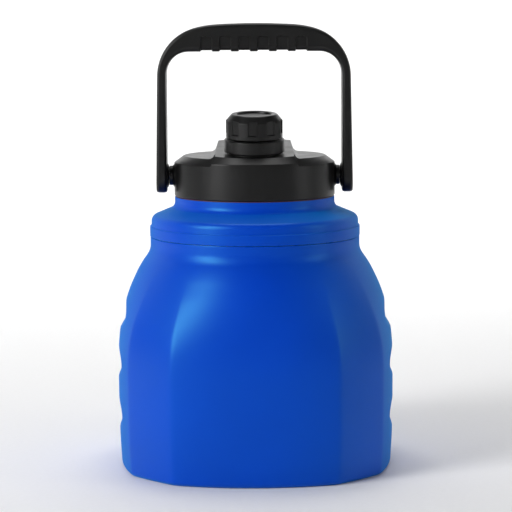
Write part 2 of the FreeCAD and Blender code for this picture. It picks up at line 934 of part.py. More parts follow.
def make_handle_bail():
    """Bail: a broad grip, rounded corners and two flat arms that end in round eyes."""
    body = document.addObject("PartDesign::Body", "bail_blank")
    sketch = new_sketch(body, "bail_outline")
    eye_bottom = size("pivot_height") - size("eye_drop")
    crown = size("crown_half_width")
    crown_end = size("handle_top") - size("crown_drop")
    inner = size("arm_inner_x")
    bend = size("inner_corner")
    draw_outline(sketch, [
        (size("arm_bottom_x"), eye_bottom),
        (size("arm_top_x"), size("arm_top_z"), size("arm_corner"), 1),
        (size("shoulder_x"), size("shoulder_z"), size("crown_corner"), 1),
        (crown, crown_end, size("crown_radius"), 1),
        (-crown, crown_end, size("crown_corner"), 1),
        (-size("shoulder_x"), size("shoulder_z"), size("arm_corner"), 1),
        (-size("arm_top_x"), size("arm_top_z")),
        (-size("arm_bottom_x"), eye_bottom),
        (-inner, eye_bottom),
        (-inner, size("grip_underside") - bend, bend, -1),
        (bend - inner, size("grip_underside")),
        (inner - bend, size("grip_underside"), bend, -1),
        (inner, size("grip_underside") - bend),
        (inner, eye_bottom),
    ])
    pad = body.newObject("PartDesign::Pad", "bail_pad")
    pad.Profile = sketch
    pad.Midplane = True
    bind(pad, "Length", size("handle_depth"))
    document.recompute()
    eye_edges = [
        f"Edge{index + 1}"
        for index, edge in enumerate(pad.Shape.Edges)
        if edge.BoundBox.ZMax < eye_bottom.value + 0.1 and edge.BoundBox.YLength < 0.1
    ]
    eyes = body.newObject("PartDesign::Fillet", "bail_eyes")
    eyes.Base = (pad, eye_edges)
    bind(eyes, "Radius", size("eye_round"))
    document.recompute()
    add_finger_pockets(body)
    bore = cylinder_along_x("eye_bore", size("bush_radius"), -size("bush_end_x"), size("bush_end_x"))
    return cut("handle_bail", body, bore)


def add_finger_pockets(body):
    """Shallow finger pockets across the lower edge of the grip, front and back."""
    sketch = new_sketch(body, "finger_outline")
    first = -size("finger_pitch") * ((FINGER_COUNT - 1) / 2)
    left = first - size("finger_width") / 2
    right = first + size("finger_width") / 2
    bottom = size("grip_underside") - size("finger_overrun")
    top = size("finger_top")
    chamfer = size("finger_chamfer")
    draw_outline(sketch, [
        (left, bottom),
        (right, bottom),
        (right, top - chamfer),
        (right - chamfer, top),
        (left + chamfer, top),
        (left, top - chamfer),
    ])
    sketch.setExpression(".AttachmentOffset.Base.z", (size("handle_depth") / 2 - size("finger_depth")).text)
    before = body.Tip.Shape.Volume
    pocket = body.newObject("PartDesign::Pocket", "finger_pocket")
    pocket.Profile = sketch
    pocket.Reversed = True
    bind(pocket, "Length", size("finger_depth") * 2)
    document.recompute()
    if pocket.Shape.Volume >= before:
        raise RuntimeError("the finger pocket does not cut the grip")
    row = body.newObject("PartDesign::MultiTransform", "finger_row")
    along = body.newObject("PartDesign::LinearPattern", "finger_spacing")
    along.Direction = (origin_feature(body, "X_Axis"), [""])
    bind(along, "Length", size("finger_pitch") * (FINGER_COUNT - 1))
    along.Occurrences = FINGER_COUNT
    across = body.newObject("PartDesign::Mirrored", "finger_backs")
    across.MirrorPlane = (origin_feature(body, "XZ_Plane"), [""])
    row.Originals = [pocket]
    row.Transformations = [along, across]
    body.Tip = row


def make_pivot_pin(name, side):
    """Steel pin with its head inside the lid, through the boss and into the handle's eye."""
    start = size("boss_inner_x") - size("pin_head")
    edge = size("pin_edge")
    body = turned_body(name, [
        (0, start),
        (size("pin_head_radius"), start),
        (size("pin_head_radius"), size("boss_inner_x")),
        (size("pin_radius"), size("boss_inner_x")),
        (size("pin_radius"), size("pin_end_x") - edge),
        (size("pin_radius") - edge, size("pin_end_x")),
        (0, size("pin_end_x")),
    ])
    place(body, 0, 0, size("pivot_height"), (0, 1, 0), 90 * side)
    return body


def make_pivot_bush(name, side):
    """Flanged bush in the handle's eye, running on the pin."""
    inner = size("pin_radius") + size("bush_clearance")
    flange_start = size("boss_outer_x") + size("bush_gap")
    arm = size("arm_inner_x")
    body = turned_body(name, [
        (inner, flange_start),
        (size("bush_flange_radius") - size("bush_flange_taper"), flange_start),
        (size("bush_flange_radius"), arm - size("bush_flange_edge")),
        (size("bush_flange_radius"), arm),
        (size("bush_radius"), arm),
        (size("bush_radius"), size("bush_end_x")),
        (inner, size("bush_end_x")),
    ])
    place(body, 0, 0, size("pivot_height"), (0, 1, 0), 90 * side)
    return body


def fill_sheet():
    for row, (alias, value) in enumerate(SIZES.items(), start=1):
        sheet.set(f"A{row}", alias)
        sheet.set(f"B{row}", str(value))
        sheet.setAlias(f"B{row}", alias)
    document.recompute()


def build():
    fill_sheet()
    spout_passage = cylinder("spout_passage", size("spout_radius"), size("spout_down") + size("passage_up"))
    on_spout_axis(spout_passage)
    lean = math.radians(size("spout_lean").value)
    below = size("spout_down").value + size("passage_overrun").value
    spout_passage.setExpression(".Placement.Base.y", (-size("spout_forward") + below * math.sin(lean)).text)
    spout_passage.setExpression(".Placement.Base.z", (size("spout_seat") - below * math.cos(lean)).text)
    return [
        make_body_shell(),
        make_shoulder_shell(),
        make_liner(),
        make_base_plate(),
        make_vacuum_seal(),
        make_getter(),
        make_lid_shell(spout_passage),
        make_lid_plug(spout_passage),
        make_lid_insulation(spout_passage),
        make_lid_gasket(),
        make_spout_tube(),
        make_spout_collar(),
        make_spout_gasket(),
        make_cap_shell(),
        make_cap_disc(),
        make_cap_insert(),
        make_cap_seal(),
        make_handle_bail(),
        make_pivot_pin("pivot_pin_left", -1),
        make_pivot_pin("pivot_pin_right", 1),
        make_pivot_bush("pivot_bush_left", -1),
        make_pivot_bush("pivot_bush_right", 1),
    ]


def check_document():
    for item in document.Objects:
        if "Invalid" in item.State or "Error" in item.State:
            raise RuntimeError(f"{item.Label} failed: {item.State}")


def export_parts(pieces):
    os.makedirs("parts", exist_ok=True)
    for piece in pieces:
        shape = piece.Shape
        if shape.isNull() or not shape.isValid():
            raise RuntimeError(f"{piece.Label} has no valid shape")
        print(f"{piece.Label}: {len(shape.Solids)} solid, {shape.Volume / 1000:.2f} cm3")
        shape.exportStep(os.path.join("parts", f"{piece.Label}.step"))


pieces = build()
document.recompute()
check_document()
export_parts(pieces)
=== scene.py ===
import json
import math

import bmesh
import bpy
import numpy as np
from mathutils import Matrix, Vector


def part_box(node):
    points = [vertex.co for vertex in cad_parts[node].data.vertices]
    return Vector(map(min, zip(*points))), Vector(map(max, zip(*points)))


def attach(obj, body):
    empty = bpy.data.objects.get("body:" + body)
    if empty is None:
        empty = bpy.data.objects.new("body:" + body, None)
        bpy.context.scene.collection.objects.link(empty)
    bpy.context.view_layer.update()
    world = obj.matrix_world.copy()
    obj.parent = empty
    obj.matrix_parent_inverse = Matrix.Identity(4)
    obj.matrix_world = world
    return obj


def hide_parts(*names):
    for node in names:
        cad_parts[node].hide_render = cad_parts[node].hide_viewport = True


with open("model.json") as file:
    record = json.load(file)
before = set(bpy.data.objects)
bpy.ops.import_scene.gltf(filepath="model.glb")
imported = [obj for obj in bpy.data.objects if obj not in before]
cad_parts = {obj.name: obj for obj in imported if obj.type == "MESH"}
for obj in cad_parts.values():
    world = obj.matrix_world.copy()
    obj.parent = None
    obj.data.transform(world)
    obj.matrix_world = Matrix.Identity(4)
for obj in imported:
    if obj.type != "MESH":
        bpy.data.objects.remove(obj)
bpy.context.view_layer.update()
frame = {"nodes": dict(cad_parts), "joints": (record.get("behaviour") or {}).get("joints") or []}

# Large double-wall water jug. Lengths are in millimetres until a mesh is made, apart from the lamps' and
# the camera's, which are in metres. Angles are in radians, unless a name ends in degrees. The front is
# towards -Y and the spout leans that way.

MM = 0.001
FULL_TURN = 2 * math.pi
SMOOTH_DEGREES = 40


# ---------------------------------------------------------------- sizes read from the frame

def node_box(name):
    low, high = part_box(name)
    return [value / MM for value in low], [value / MM for value in high]


def joint(name):
    return next(item for item in frame["joints"] if item["name"] == name)


BODY_HIGH = node_box("body_shell")[1]
SEAM_Z = BODY_HIGH[2]
SHOULDER_HIGH = node_box("shoulder_shell")[1]
BAND_RADIUS = SHOULDER_HIGH[0]
RIM_Z = SHOULDER_HIGH[2]
LINER_LOW, LINER_HIGH = node_box("inner_liner")
LINER_RADIUS = LINER_HIGH[0]
LIP_Z = LINER_HIGH[2]
LINER_LIP_RADIUS = 55.2
LID_LOW, LID_HIGH = node_box("lid_shell")
LID_RADIUS = LID_HIGH[1]
LID_BOTTOM = LID_LOW[2]
PLUG_LOW, PLUG_HIGH = node_box("lid_plug")
BAIL_LOW, BAIL_HIGH = node_box("handle_bail")
PIVOT_Z = joint("handle_swing")["pos_m"][2] / MM
SPOUT_SEAT = Vector(joint("cap_turn")["pos_m"]) / MM
SPOUT_AXIS = Vector(joint("cap_turn")["axis"])
SPOUT_LEAN = math.atan2(-SPOUT_AXIS.y, SPOUT_AXIS.z)
MOUTH_LEAD = 12.0
MOUTH_STARTS = 2
MOUTH_RIDGE = 1.5
MOUTH_RIDGE_ROOT, MOUTH_RIDGE_CREST = 2.6, 1.4
CAP_LEAD = 4.0
SPOUT_RIDGE = 1.3


# ---------------------------------------------------------------- mesh helpers

def mesh_object(name, vertices, faces, dissolve=False):
    """A linked mesh object from millimetre vertices, with doubled points merged and its faces turned out."""
    mesh = bpy.data.meshes.new(name)
    mesh.from_pydata([tuple(vertex) for vertex in np.asarray(vertices) * MM], [], faces)
    clean = bmesh.new()
    clean.from_mesh(mesh)
    bmesh.ops.remove_doubles(clean, verts=clean.verts, dist=1e-6)
    if dissolve:
        bmesh.ops.dissolve_degenerate(clean, edges=clean.edges, dist=1e-7)
    bmesh.ops.recalc_face_normals(clean, faces=clean.faces)
    clean.to_mesh(mesh)
    clean.free()
    made = bpy.data.objects.new(name, mesh)
    bpy.context.scene.collection.objects.link(made)
    return made


def new_piece(name, vertices, faces, material, body, replaced=()):
    """A visible piece, smooth shaded, riding on a body."""
    piece = mesh_object(name, vertices, faces, dissolve=True)
    finish_piece(piece, material, body, replaced)
    return piece


def finish_piece(piece, material, body, replaced=()):
    piece.data.materials.clear()
    piece.data.materials.append(material)
    piece.data.polygons.foreach_set("use_smooth", [True] * len(piece.data.polygons))
    piece.data.set_sharp_from_angle(angle=math.radians(SMOOTH_DEGREES))
    weighted = piece.modifiers.new("Normals", "WEIGHTED_NORMAL")
    weighted.keep_sharp = True
    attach(piece, body)
    if replaced:
        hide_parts(*replaced)


def rounded(corners, steps=5):
    """A closed outline of (x, y, radius) corners, with each corner turned into an arc of that radius."""
    outline = []
    count = len(corners)
    for index, (x, y, radius) in enumerate(corners):
        corner = np.array([x, y])
        before = np.array(corners[index - 1][:2]) - corner
        after = np.array(corners[(index + 1) % count][:2]) - corner
        before_length = np.linalg.norm(before)
        after_length = np.linalg.norm(after)
        if radius <= 0:
            outline.append(corner)
            continue
        before = before / before_length
        after = after / after_length
        half = math.acos(float(np.clip(before @ after, -1, 1))) / 2
        reach = radius / math.tan(half)
        limit = 0.48 * min(before_length, after_length)
        if reach > limit:
            reach = limit
            radius = reach * math.tan(half)
        middle = before + after
        centre = corner + middle / np.linalg.norm(middle) * (radius / math.sin(half))
        start = corner + before * reach - centre
        end = corner + after * reach - centre
        start_angle = math.atan2(start[1], start[0])
        sweep = math.atan2(end[1], end[0]) - start_angle
        sweep = (sweep + math.pi) % FULL_TURN - math.pi
        arc_steps = max(steps, int(abs(sweep) * radius / 1.5))
        for step in range(arc_steps + 1):
            angle = start_angle + sweep * step / arc_steps
            outline.append(centre + radius * np.array([math.cos(angle), math.sin(angle)]))
    return np.array(outline)


def subdivided(outline, longest, fine=None):
    """The same closed outline with long runs divided, so that detail pushed into it has points to move.

    Only runs with both ends between the two heights in fine are divided, where it is given."""
    points = []
    for index, point in enumerate(outline):
        following = outline[(index + 1) % len(outline)]
        pieces_needed = max(1, int(math.ceil(np.linalg.norm(following - point) / longest)))
        if fine and not (max(point[1], following[1]) > fine[0] and min(point[1], following[1]) < fine[1]):
            pieces_needed = 1
        for step in range(pieces_needed):
            points.append(point + (following - point) * step / pieces_needed)
    return np.array(points)


def grid_faces(rows, columns, close_rows=True, close_columns=True):
    faces = []
    for row in range(rows if close_rows else rows - 1):
        following = (row + 1) % rows
        for column in range(columns if close_columns else columns - 1):
            beside = (column + 1) % columns
            faces.append((
                row * columns + column,
                following * columns + column,
                following * columns + beside,
                row * columns + beside,
            ))
    return faces


def lathe_grid(outline, segments, shape=None):
    """Vertices of a closed half outline of (radius, height) turned about Z; shape may push the surface."""
    angles = np.arange(segments) * FULL_TURN / segments
    radius = np.repeat(outline[:, 0][:, None], segments, axis=1)
    height = np.repeat(outline[:, 1][:, None], segments, axis=1)
    angle = np.repeat(angles[None, :], len(outline), axis=0)
    if shape is not None:
        radius, height = shape(radius, height, angle)
    grid = np.stack([radius * np.cos(angle), radius * np.sin(angle), height], axis=-1)
    return grid.reshape(-1, 3)


def placed(vertices, matrix):
    """Vertices moved by a 4 by 4 matrix in millimetres."""
    table = np.array(matrix)
    return vertices @ table[:3, :3].T + table[:3, 3]


SPOUT_FRAME = Matrix.Translation(SPOUT_SEAT) @ Matrix.Rotation(SPOUT_LEAN, 4, "X")


def pivot_frame(side):
    return Matrix.Translation((0, 0, PIVOT_Z)) @ Matrix.Rotation(math.radians(90) * side, 4, "Y")


def lathe(name, corners, material, body, replaced=(), segments=192, matrix=None, shape=None,
          longest=None, fine=None, steps=5):
    outline = rounded(corners, steps)
    if longest:
        outline = subdivided(outline, longest, fine)
    vertices = lathe_grid(outline, segments, shape)
    if matrix is not None:
        vertices = placed(vertices, matrix)
    faces = grid_faces(len(outline), segments)
    return new_piece(name, vertices, faces, material, body, replaced)


def smooth_min(first, second, softness):
    return (first + second - np.sqrt((first - second) ** 2 + softness ** 2)) / 2


def blended_min(first, second, width):
    """The smaller of two values, rounded only where they are within a width of each other."""
    near = np.maximum(width - np.abs(first - second), 0) / width
    return np.minimum(first, second) - near * near * width / 4


def ease(value, low, high):
    step = np.clip((value - low) / (high - low), 0.0, 1.0)
    return step * step * (3 - 2 * step)


def ridge_height(angle, height, lead, starts, centre, root_width, crest_width):
    """How much of a helical ridge stands at each point, from nought to one."""
    pitch = lead / starts
    along = height - centre - lead * angle / FULL_TURN
    away = np.abs((along + pitch / 2) % pitch - pitch / 2)
    return 1 - ease(away, crest_width / 2 - 0.1, root_width / 2 + 0.1)


def mouth_ridge(angle, height, centre):
    return ridge_height(angle, height, MOUTH_LEAD, MOUTH_STARTS, centre, MOUTH_RIDGE_ROOT, MOUTH_RIDGE_CREST)


# ---------------------------------------------------------------- materials

class Nodes:
    """A short way to write a material's node tree."""

    def __init__(self, name):
        self.material = bpy.data.materials.new(name)
        self.material.use_nodes = True
        self.tree = self.material.node_tree
        self.shader = self.tree.nodes["Principled BSDF"]
        self.coordinates = self.tree.nodes.new("ShaderNodeTexCoord")

    def add(self, kind, inputs=None, **settings):
        node = self.tree.nodes.new(kind)
        for key, value in settings.items():
            setattr(node, key, value)
        for key, value in (inputs or {}).items():
            if isinstance(value, bpy.types.NodeSocket):
                self.tree.links.new(value, node.inputs[key])
            else:
                node.inputs[key].default_value = value
        return node

    def link(self, socket, name):
        self.tree.links.new(socket, self.shader.inputs[name])

    def set(self, **values):
        for key, value in values.items():
            self.shader.inputs[key.replace("_", " ")].default_value = value

    def noise(self, size_mm, detail=2.0, roughness=0.5, stretch=None):
        """Noise with features of about this size, on the object's own coordinates."""
        source = self.coordinates.outputs["Object"]
        if stretch:
            source = self.add("ShaderNodeMapping", {"Vector": source, "Scale": stretch}).outputs[0]
        scale = 1.0 / (size_mm * MM)
        inputs = {"Vector": source, "Scale": scale, "Detail": detail, "Roughness": roughness}
        return self.add("ShaderNodeTexNoise", inputs).outputs["Fac"]

    def ramp(self, source, low, high, from_low=0.3, from_high=0.7):
        """A number that goes from low to high as the source goes across its middle."""
        limits = {"From Min": from_low, "From Max": from_high, "To Min": low, "To Max": high}
        return self.add("ShaderNodeMapRange", {"Value": source, **limits}).outputs["Result"]

    def blend(self, factor, first, second):
        mix = self.add("ShaderNodeMix", data_type="RGBA")
        self.tree.links.new(factor, mix.inputs["Factor"])
        mix.inputs[6].default_value = (*first, 1)
        mix.inputs[7].default_value = (*second, 1)
        return mix.outputs[2]

    def bump(self, layers):
        """Bump from several (source, strength, depth in mm) layers, one on top of the other."""
        normal = None
        for source, strength, depth in layers:
            inputs = {"Height": source, "Strength": strength, "Distance": depth * MM}
            if normal is not None:
                inputs["Normal"] = normal
            normal = self.add("ShaderNodeBump", inputs).outputs["Normal"]
        self.link(normal, "Normal")


def powder_coat():
    """Satin blue powder coat: fine orange peel over a finer grain, with a faint drift in tone and gloss."""
    paint = Nodes("blue_powder_coat")
    drift = paint.noise(60.0, detail=1.0)
    grain = paint.noise(0.55, detail=3.0)
    peel = paint.noise(1.9, detail=2.0)
    paint.link(paint.blend(paint.ramp(drift, 0, 1), (0.0, 0.032, 0.48), (0.0, 0.036, 0.53)), "Base Color")
    facing = paint.add("ShaderNodeLayerWeight", {"Blend": 0.5}).outputs["Facing"]
    rough = paint.ramp(grain, 0.33, 0.41)
    softer = paint.ramp(facing, 0.0, 0.34, 0.35, 0.85)
    paint.link(paint.add("ShaderNodeMath", {0: rough, 1: softer}, operation="ADD").outputs[0], "Roughness")
    paint.set(Specular_IOR_Level=0.6, Specular_Tint=(0.15, 0.85, 1.0, 1.0))
    paint.set(Sheen_Weight=0.32, Sheen_Roughness=0.5, Sheen_Tint=(0.0, 0.8, 1.0, 1.0))
    paint.bump([(peel, 0.35, 0.05), (grain, 0.5, 0.03)])
    return paint.material


def moulded_black(name, shade=0.0035, rough=(0.30, 0.38), grain_mm=0.35, depth=0.02):
    """Spark-eroded black plastic: even fine grain, and cloudier patches where hands polish it."""
    plastic = Nodes(name)
    grain = plastic.noise(grain_mm, detail=2.0)
    cloud = plastic.noise(14.0, detail=3.0)
    low = (shade * 0.92, shade * 0.92, shade * 0.94)
    high = (shade * 1.12, shade * 1.12, shade * 1.14)
    plastic.link(plastic.blend(plastic.ramp(cloud, 0, 1), low, high), "Base Color")
    plastic.link(plastic.ramp(cloud, rough[0], rough[1]), "Roughness")
    plastic.set(Specular_IOR_Level=0.33)
    plastic.bump([(grain, 0.6, depth)])
    return plastic.material


def brushed_steel(name, tone=0.62, stretch=(1.0, 1.0, 30.0), rough=(0.24, 0.38)):
    """Steel with fine lines drawn round it, and faint clouding."""
    steel = Nodes(name)
    lines = steel.noise(6.0, detail=4.0, roughness=0.65, stretch=stretch)
    cloud = steel.noise(22.0, detail=2.0)
    low = (tone * 0.94, tone * 0.94, tone * 0.95)
    high = (tone * 1.04, tone * 1.04, tone * 1.05)
    steel.link(steel.blend(steel.ramp(cloud, 0, 1), low, high), "Base Color")
    steel.link(steel.ramp(lines, rough[0], rough[1]), "Roughness")
    steel.set(Metallic=1.0)
    steel.bump([(lines, 0.35, 0.015)])
    return steel.material


def soft_rubber(name, colour, rough=(0.5, 0.62)):
    """Silicone or rubber with a dusty, slightly uneven matte face."""
    rubber = Nodes(name)
    cloud = rubber.noise(5.0, detail=3.0)
    grain = rubber.noise(0.3, detail=1.0)
    low = tuple(value * 0.93 for value in colour)
    rubber.link(rubber.blend(rubber.ramp(cloud, 0, 1), low, colour), "Base Color")
    rubber.link(rubber.ramp(cloud, rough[0], rough[1]), "Roughness")
    rubber.bump([(grain, 0.4, 0.01)])
    return rubber.material


def closed_cell_foam():
    """Pale foam with a bubble surface."""
    foam = Nodes("insulation_foam")
    scale = 1.0 / (1.1 * MM)
    cells = foam.add("ShaderNodeTexVoronoi", {"Vector": foam.coordinates.outputs["Object"], "Scale": scale})
    distance = cells.outputs["Distance"]
    shade = foam.ramp(distance, 0, 1, 0.0, 0.8)
    foam.link(foam.blend(shade, (0.80, 0.75, 0.62), (0.66, 0.60, 0.47)), "Base Color")
    foam.set(Roughness=0.85)
    foam.bump([(distance, 0.8, 0.12)])
    return foam.material


def sintered_metal():
    """Dark pressed-powder metal, as getter pucks are."""
    metal = Nodes("getter_metal")
    specks = metal.noise(0.5, detail=4.0)
    metal.link(metal.blend(metal.ramp(specks, 0, 1), (0.10, 0.10, 0.11), (0.24, 0.24, 0.25)), "Base Color")
    metal.link(metal.ramp(specks, 0.45, 0.7), "Roughness")
    metal.set(Metallic=0.85)
    metal.bump([(specks, 0.6, 0.05)])
    return metal.material


def solder_bead():
    """Dull, flowed sealing metal."""
    bead = Nodes("seal_metal")
    flow = bead.noise(1.6, detail=2.0)
    bead.link(bead.blend(bead.ramp(flow, 0, 1), (0.40, 0.40, 0.41), (0.55, 0.55, 0.56)), "Base Color")
    bead.link(bead.ramp(flow, 0.3, 0.5), "Roughness")
    bead.set(Metallic=1.0)
    bead.bump([(flow, 0.5, 0.12)])
    return bead.material


def floor_paper():
    """Plain pale studio paper."""
    paper = Nodes("studio_paper")
    tooth = paper.noise(3.0, detail=2.0)
    paper.link(paper.blend(paper.ramp(tooth, 0, 1), (0.86, 0.86, 0.86), (0.88, 0.88, 0.88)), "Base Color")
    paper.set(Roughness=0.7, Specular_IOR_Level=0.2)
    return paper.material


BLUE = powder_coat()
BLACK = moulded_black("black_plastic")
GRIP_BLACK = moulded_black("grip_plastic", shade=0.0045, rough=(0.32, 0.42), grain_mm=0.45, depth=0.03)
PLUG_BLACK = moulded_black("plug_plastic", shade=0.02, rough=(0.3, 0.4), grain_mm=0.6, depth=0.008)
LINER_STEEL = brushed_steel("brushed_liner_steel")
PIN_STEEL = brushed_steel("pin_steel", tone=0.58, stretch=(30.0, 1.0, 1.0), rough=(0.2, 0.3))
SEAL_METAL = solder_bead()
GETTER = sintered_metal()
SILICONE = soft_rubber("silicone", (0.62, 0.63, 0.64))
GASKET_RUBBER = soft_rubber("gasket_silicone", (0.065, 0.013, 0.009))
BLACK_RUBBER = soft_rubber("black_rubber", (0.018, 0.018, 0.018))
FOAM = closed_cell_foam()


# ---------------------------------------------------------------- blue outer shell

# Half width of the jug across its main faces at heights from the base to the top of the dome.
BODY_HEIGHTS = np.array([
    0.0, 8.0, 20.0, 38.0, 55.0, 85.0, 97.0, 107.0, 116.0, 125.0, 132.0, 139.0, 146.2, 150.5,
])
BODY_HALF_WIDTHS = np.array([
    95.1, 95.6, 96.25, 96.65, 96.8, 96.45, 95.3, 93.6, 91.1, 88.0, 84.9, 81.4, 76.8, 73.5,
])
RING_RADIUS = 73.5
WAIST_START = 85.0
DOME_TOP = 150.5
FACE_REACH, FACE_RADIUS = 1.0, 1.811
FACET_REACH, FACET_RADIUS = 1.0625, 3.0
CREASE_SOFTNESS = 0.0035
CREASE_DEGREES = 33.2
HOLLOW_AXES = ((36.9, 110.4), (73.6, 110.3), (109.2, 107.1))
HOLLOW_RADIUS = 17.0
HOLLOW_EDGE = 1.3
FOOT_ROUND = 3.2
STEEL_WALL = 0.8
BASE_HOLE = 80.0


def smooth_profile(height):
    """Half width at any height, on a curve with no corners through the listed widths."""
    slopes = np.gradient(BODY_HALF_WIDTHS, BODY_HEIGHTS)
    index = np.clip(np.searchsorted(BODY_HEIGHTS, height) - 1, 0, len(BODY_HEIGHTS) - 2)
    run = BODY_HEIGHTS[index + 1] - BODY_HEIGHTS[index]
    step = (height - BODY_HEIGHTS[index]) / run
    first = BODY_HALF_WIDTHS[index]
    second = BODY_HALF_WIDTHS[index + 1]
    inside = (
        (1 + 2 * step) * (1 - step) ** 2 * first
        + step * (1 - step) ** 2 * run * slopes[index]
        + step ** 2 * (3 - 2 * step) * second
        + step ** 2 * (step - 1) * run * slopes[index + 1]
    )
    beyond = BODY_HALF_WIDTHS[-1] + (height - DOME_TOP) * slopes[-1]
    return np.minimum(np.where(height > DOME_TOP, beyond, inside), BODY_HIGH[1])


def circle_reach(angle, reach, radius):
    centre = reach - radius
    return centre * np.cos(angle) + np.sqrt(radius ** 2 - (centre * np.sin(angle)) ** 2)


def faceted_reach(angle):
    quarter = math.pi / 2
    from_face = (angle + quarter / 2) % quarter - quarter / 2
    from_facet = angle % quarter - quarter / 2
    face = circle_reach(from_face, FACE_REACH, FACE_RADIUS)
    facet = circle_reach(from_facet, FACET_REACH, FACET_RADIUS)
    return smooth_min(face, facet, 2 * CREASE_SOFTNESS)


def shell_point(angle, height, inset):
    """A point of the outer shell's surface, moved in by a wall."""
    share = 1 - ease(height, WAIST_START, DOME_TOP)
    width = smooth_profile(height) - inset
    reach = width * (1 - share + share * faceted_reach(angle))
    foot = np.clip(FOOT_ROUND - inset - (height - inset), 0, FOOT_ROUND - inset)
    reach = reach - (FOOT_ROUND - inset) + np.sqrt((FOOT_ROUND - inset) ** 2 - foot ** 2)
    reach = -blended_min(-reach, inset - RING_RADIUS, 3.2)
    x = reach * np.cos(angle)
    y = reach * np.sin(angle)
    radius = HOLLOW_RADIUS + inset
    for centre, distance in HOLLOW_AXES:
        drop = np.clip(np.abs(height - centre), 0, radius)
        trough = distance - np.sqrt(radius ** 2 - drop ** 2)
        x = np.sign(x) * blended_min(np.abs(x), trough, HOLLOW_EDGE)
    return x, y


def shell_angles():
    """Angles round the shell, close together at the creases and wider on the faces."""
    crease = math.radians(CREASE_DEGREES)
    along = np.linspace(0, 1, 37)
    face = crease * (1 - (1 - along) ** 2 * 0.35 - (1 - along) * 0.65)
    facet = crease + (math.pi / 4 - crease) * (np.linspace(0, 1, 15)[1:] ** 1.3)
    half = np.concatenate([face, facet])
    quarter = np.concatenate([half, math.pi / 2 - half[-2:0:-1]])
    return np.concatenate([quarter + turn * math.pi / 2 for turn in range(4)])


def make_body_shell():
    angles = shell_angles()
    seam = SEAM_Z - 0.12
    foot_turn = np.linspace(0, math.pi / 2, 10)
    foot_up = FOOT_ROUND * (1 - np.cos(foot_turn))
    outer = np.concatenate([
        foot_up,
        np.arange(FOOT_ROUND + 1.0, DOME_TOP - 6, 1.0),
        np.arange(DOME_TOP - 5, DOME_TOP + 3, 0.4),
        np.linspace(DOME_TOP + 3.5, seam - 0.5, 6),
    ])
    rows = []
    for height in outer:
        x, y = shell_point(angles, np.full_like(angles, height), 0.0)
        rows.append(np.stack([x, y, np.full_like(x, height)], axis=-1))
    for turn in (0.5, 1.0):
        edge = RING_RADIUS - 0.4 * (1 - math.cos(turn * math.pi / 2))
        level = seam - 0.5 + 0.5 * math.sin(turn * math.pi / 2)
        rows.append(ring_row(angles, edge, level))
    rows.append(ring_row(angles, RING_RADIUS - STEEL_WALL, seam))
    for height in outer[::-1][::3]:
        level = max(height, STEEL_WALL)
        x, y = shell_point(angles, np.full_like(angles, level), STEEL_WALL)
        rows.append(np.stack([x, y, np.full_like(x, level)], axis=-1))
    rows.append(ring_row(angles, BASE_HOLE, STEEL_WALL))
    rows.append(ring_row(angles, BASE_HOLE, 0.2))
    rows.append(ring_row(angles, BASE_HOLE + 0.2, 0.0))
    vertices = np.concatenate(rows)
    faces = grid_faces(len(rows), len(angles))
    return new_piece("outer_shell", vertices, faces, BLUE, "jug", ["body_shell"])


def ring_row(angles, radius, height):
    """One level, round row of points."""
    level = np.full_like(angles, height)
    return np.stack([radius * np.cos(angles), radius * np.sin(angles), level], axis=-1)


def make_shoulder():
    """Joint band, shoulder and neck of the blue shell."""
    neck = LID_RADIUS - 0.2
    inside = neck - STEEL_WALL
    band = BAND_RADIUS + 0.15
    band_inside = BAND_RADIUS - 1.9
    foot = SEAM_Z + 0.15
    corners = [
        (band, foot, 0.45),
        (band, SEAM_Z + 7.0, 0.35),
        (BAND_RADIUS - 0.9, SEAM_Z + 7.6, 0.4),
        (BAND_RADIUS - 1.1, SEAM_Z + 14.0, 7.94),
        (neck, SEAM_Z + 20.88, 6.06),
        (neck, RIM_Z, 0.3),
        (inside, RIM_Z, 0),
        (inside, SEAM_Z + 20.3, 6.86),
        (band_inside, SEAM_Z + 13.45, 7.14),
        (band_inside, foot, 0),
    ]
    return lathe("shoulder", corners, BLUE, "jug", ["shoulder_shell"], 256, steps=8)


# ---------------------------------------------------------------- steel vessel and base

def make_liner():
    """Inner vessel with its rolled lip and two-start mouth thread."""
    bottom = LINER_LOW[2]
    ring = 68.0
    mouth = 51.0
    straight = 88.0
    neck_foot = 174.0
    lip = LINER_LIP_RADIUS
    lip_bottom = LIP_Z - 1.0
    sweep_in = LINER_RADIUS - ring
    sweep_up = DOME_TOP - straight
    dome = (sweep_in ** 2 + sweep_up ** 2) / (2 * sweep_in)
    turn = math.asin(sweep_up / dome)

    def dome_points(inset, order):
        steps = np.linspace(0, turn, 24)[::order]
        centre = LINER_RADIUS - dome
        return [(centre + (dome - inset) * math.cos(step), straight + (dome - inset) * math.sin(step), 0)
                for step in steps]

    wall = STEEL_WALL
    corners = [(0, bottom, 0), (LINER_RADIUS, bottom, 16.0)]
    corners += dome_points(0, 1)
    corners += [
        (ring, neck_foot, 12.0), (mouth + wall, 177.5, 1.0), (mouth + wall, lip_bottom, 0.3),
        (lip, lip_bottom, 0), (lip, LIP_Z, 0.15), (mouth, LIP_Z, 0.45), (mouth, 176.8, 1.0),
        (ring - wall, neck_foot - wall, 11.2),
    ]
    corners += dome_points(wall, -1)
    corners += [(LINER_RADIUS - wall, bottom + wall, 15.2), (0, bottom + wall, 0)]

    def press_thread(radius, height, angle):
        ridge = mouth_ridge(angle, height, 175.5)
        window = ease(height, 175.8, 177.2) * (1 - ease(height, 183.4, 184.8))
        on_mouth = (radius < mouth + 0.05) & (height > 170)
        return np.where(on_mouth, radius - MOUTH_RIDGE * ridge * window, radius), height

    return lathe("inner_vessel", corners, LINER_STEEL, "jug", ["inner_liner"],
                 256, shape=press_thread, longest=4.0)


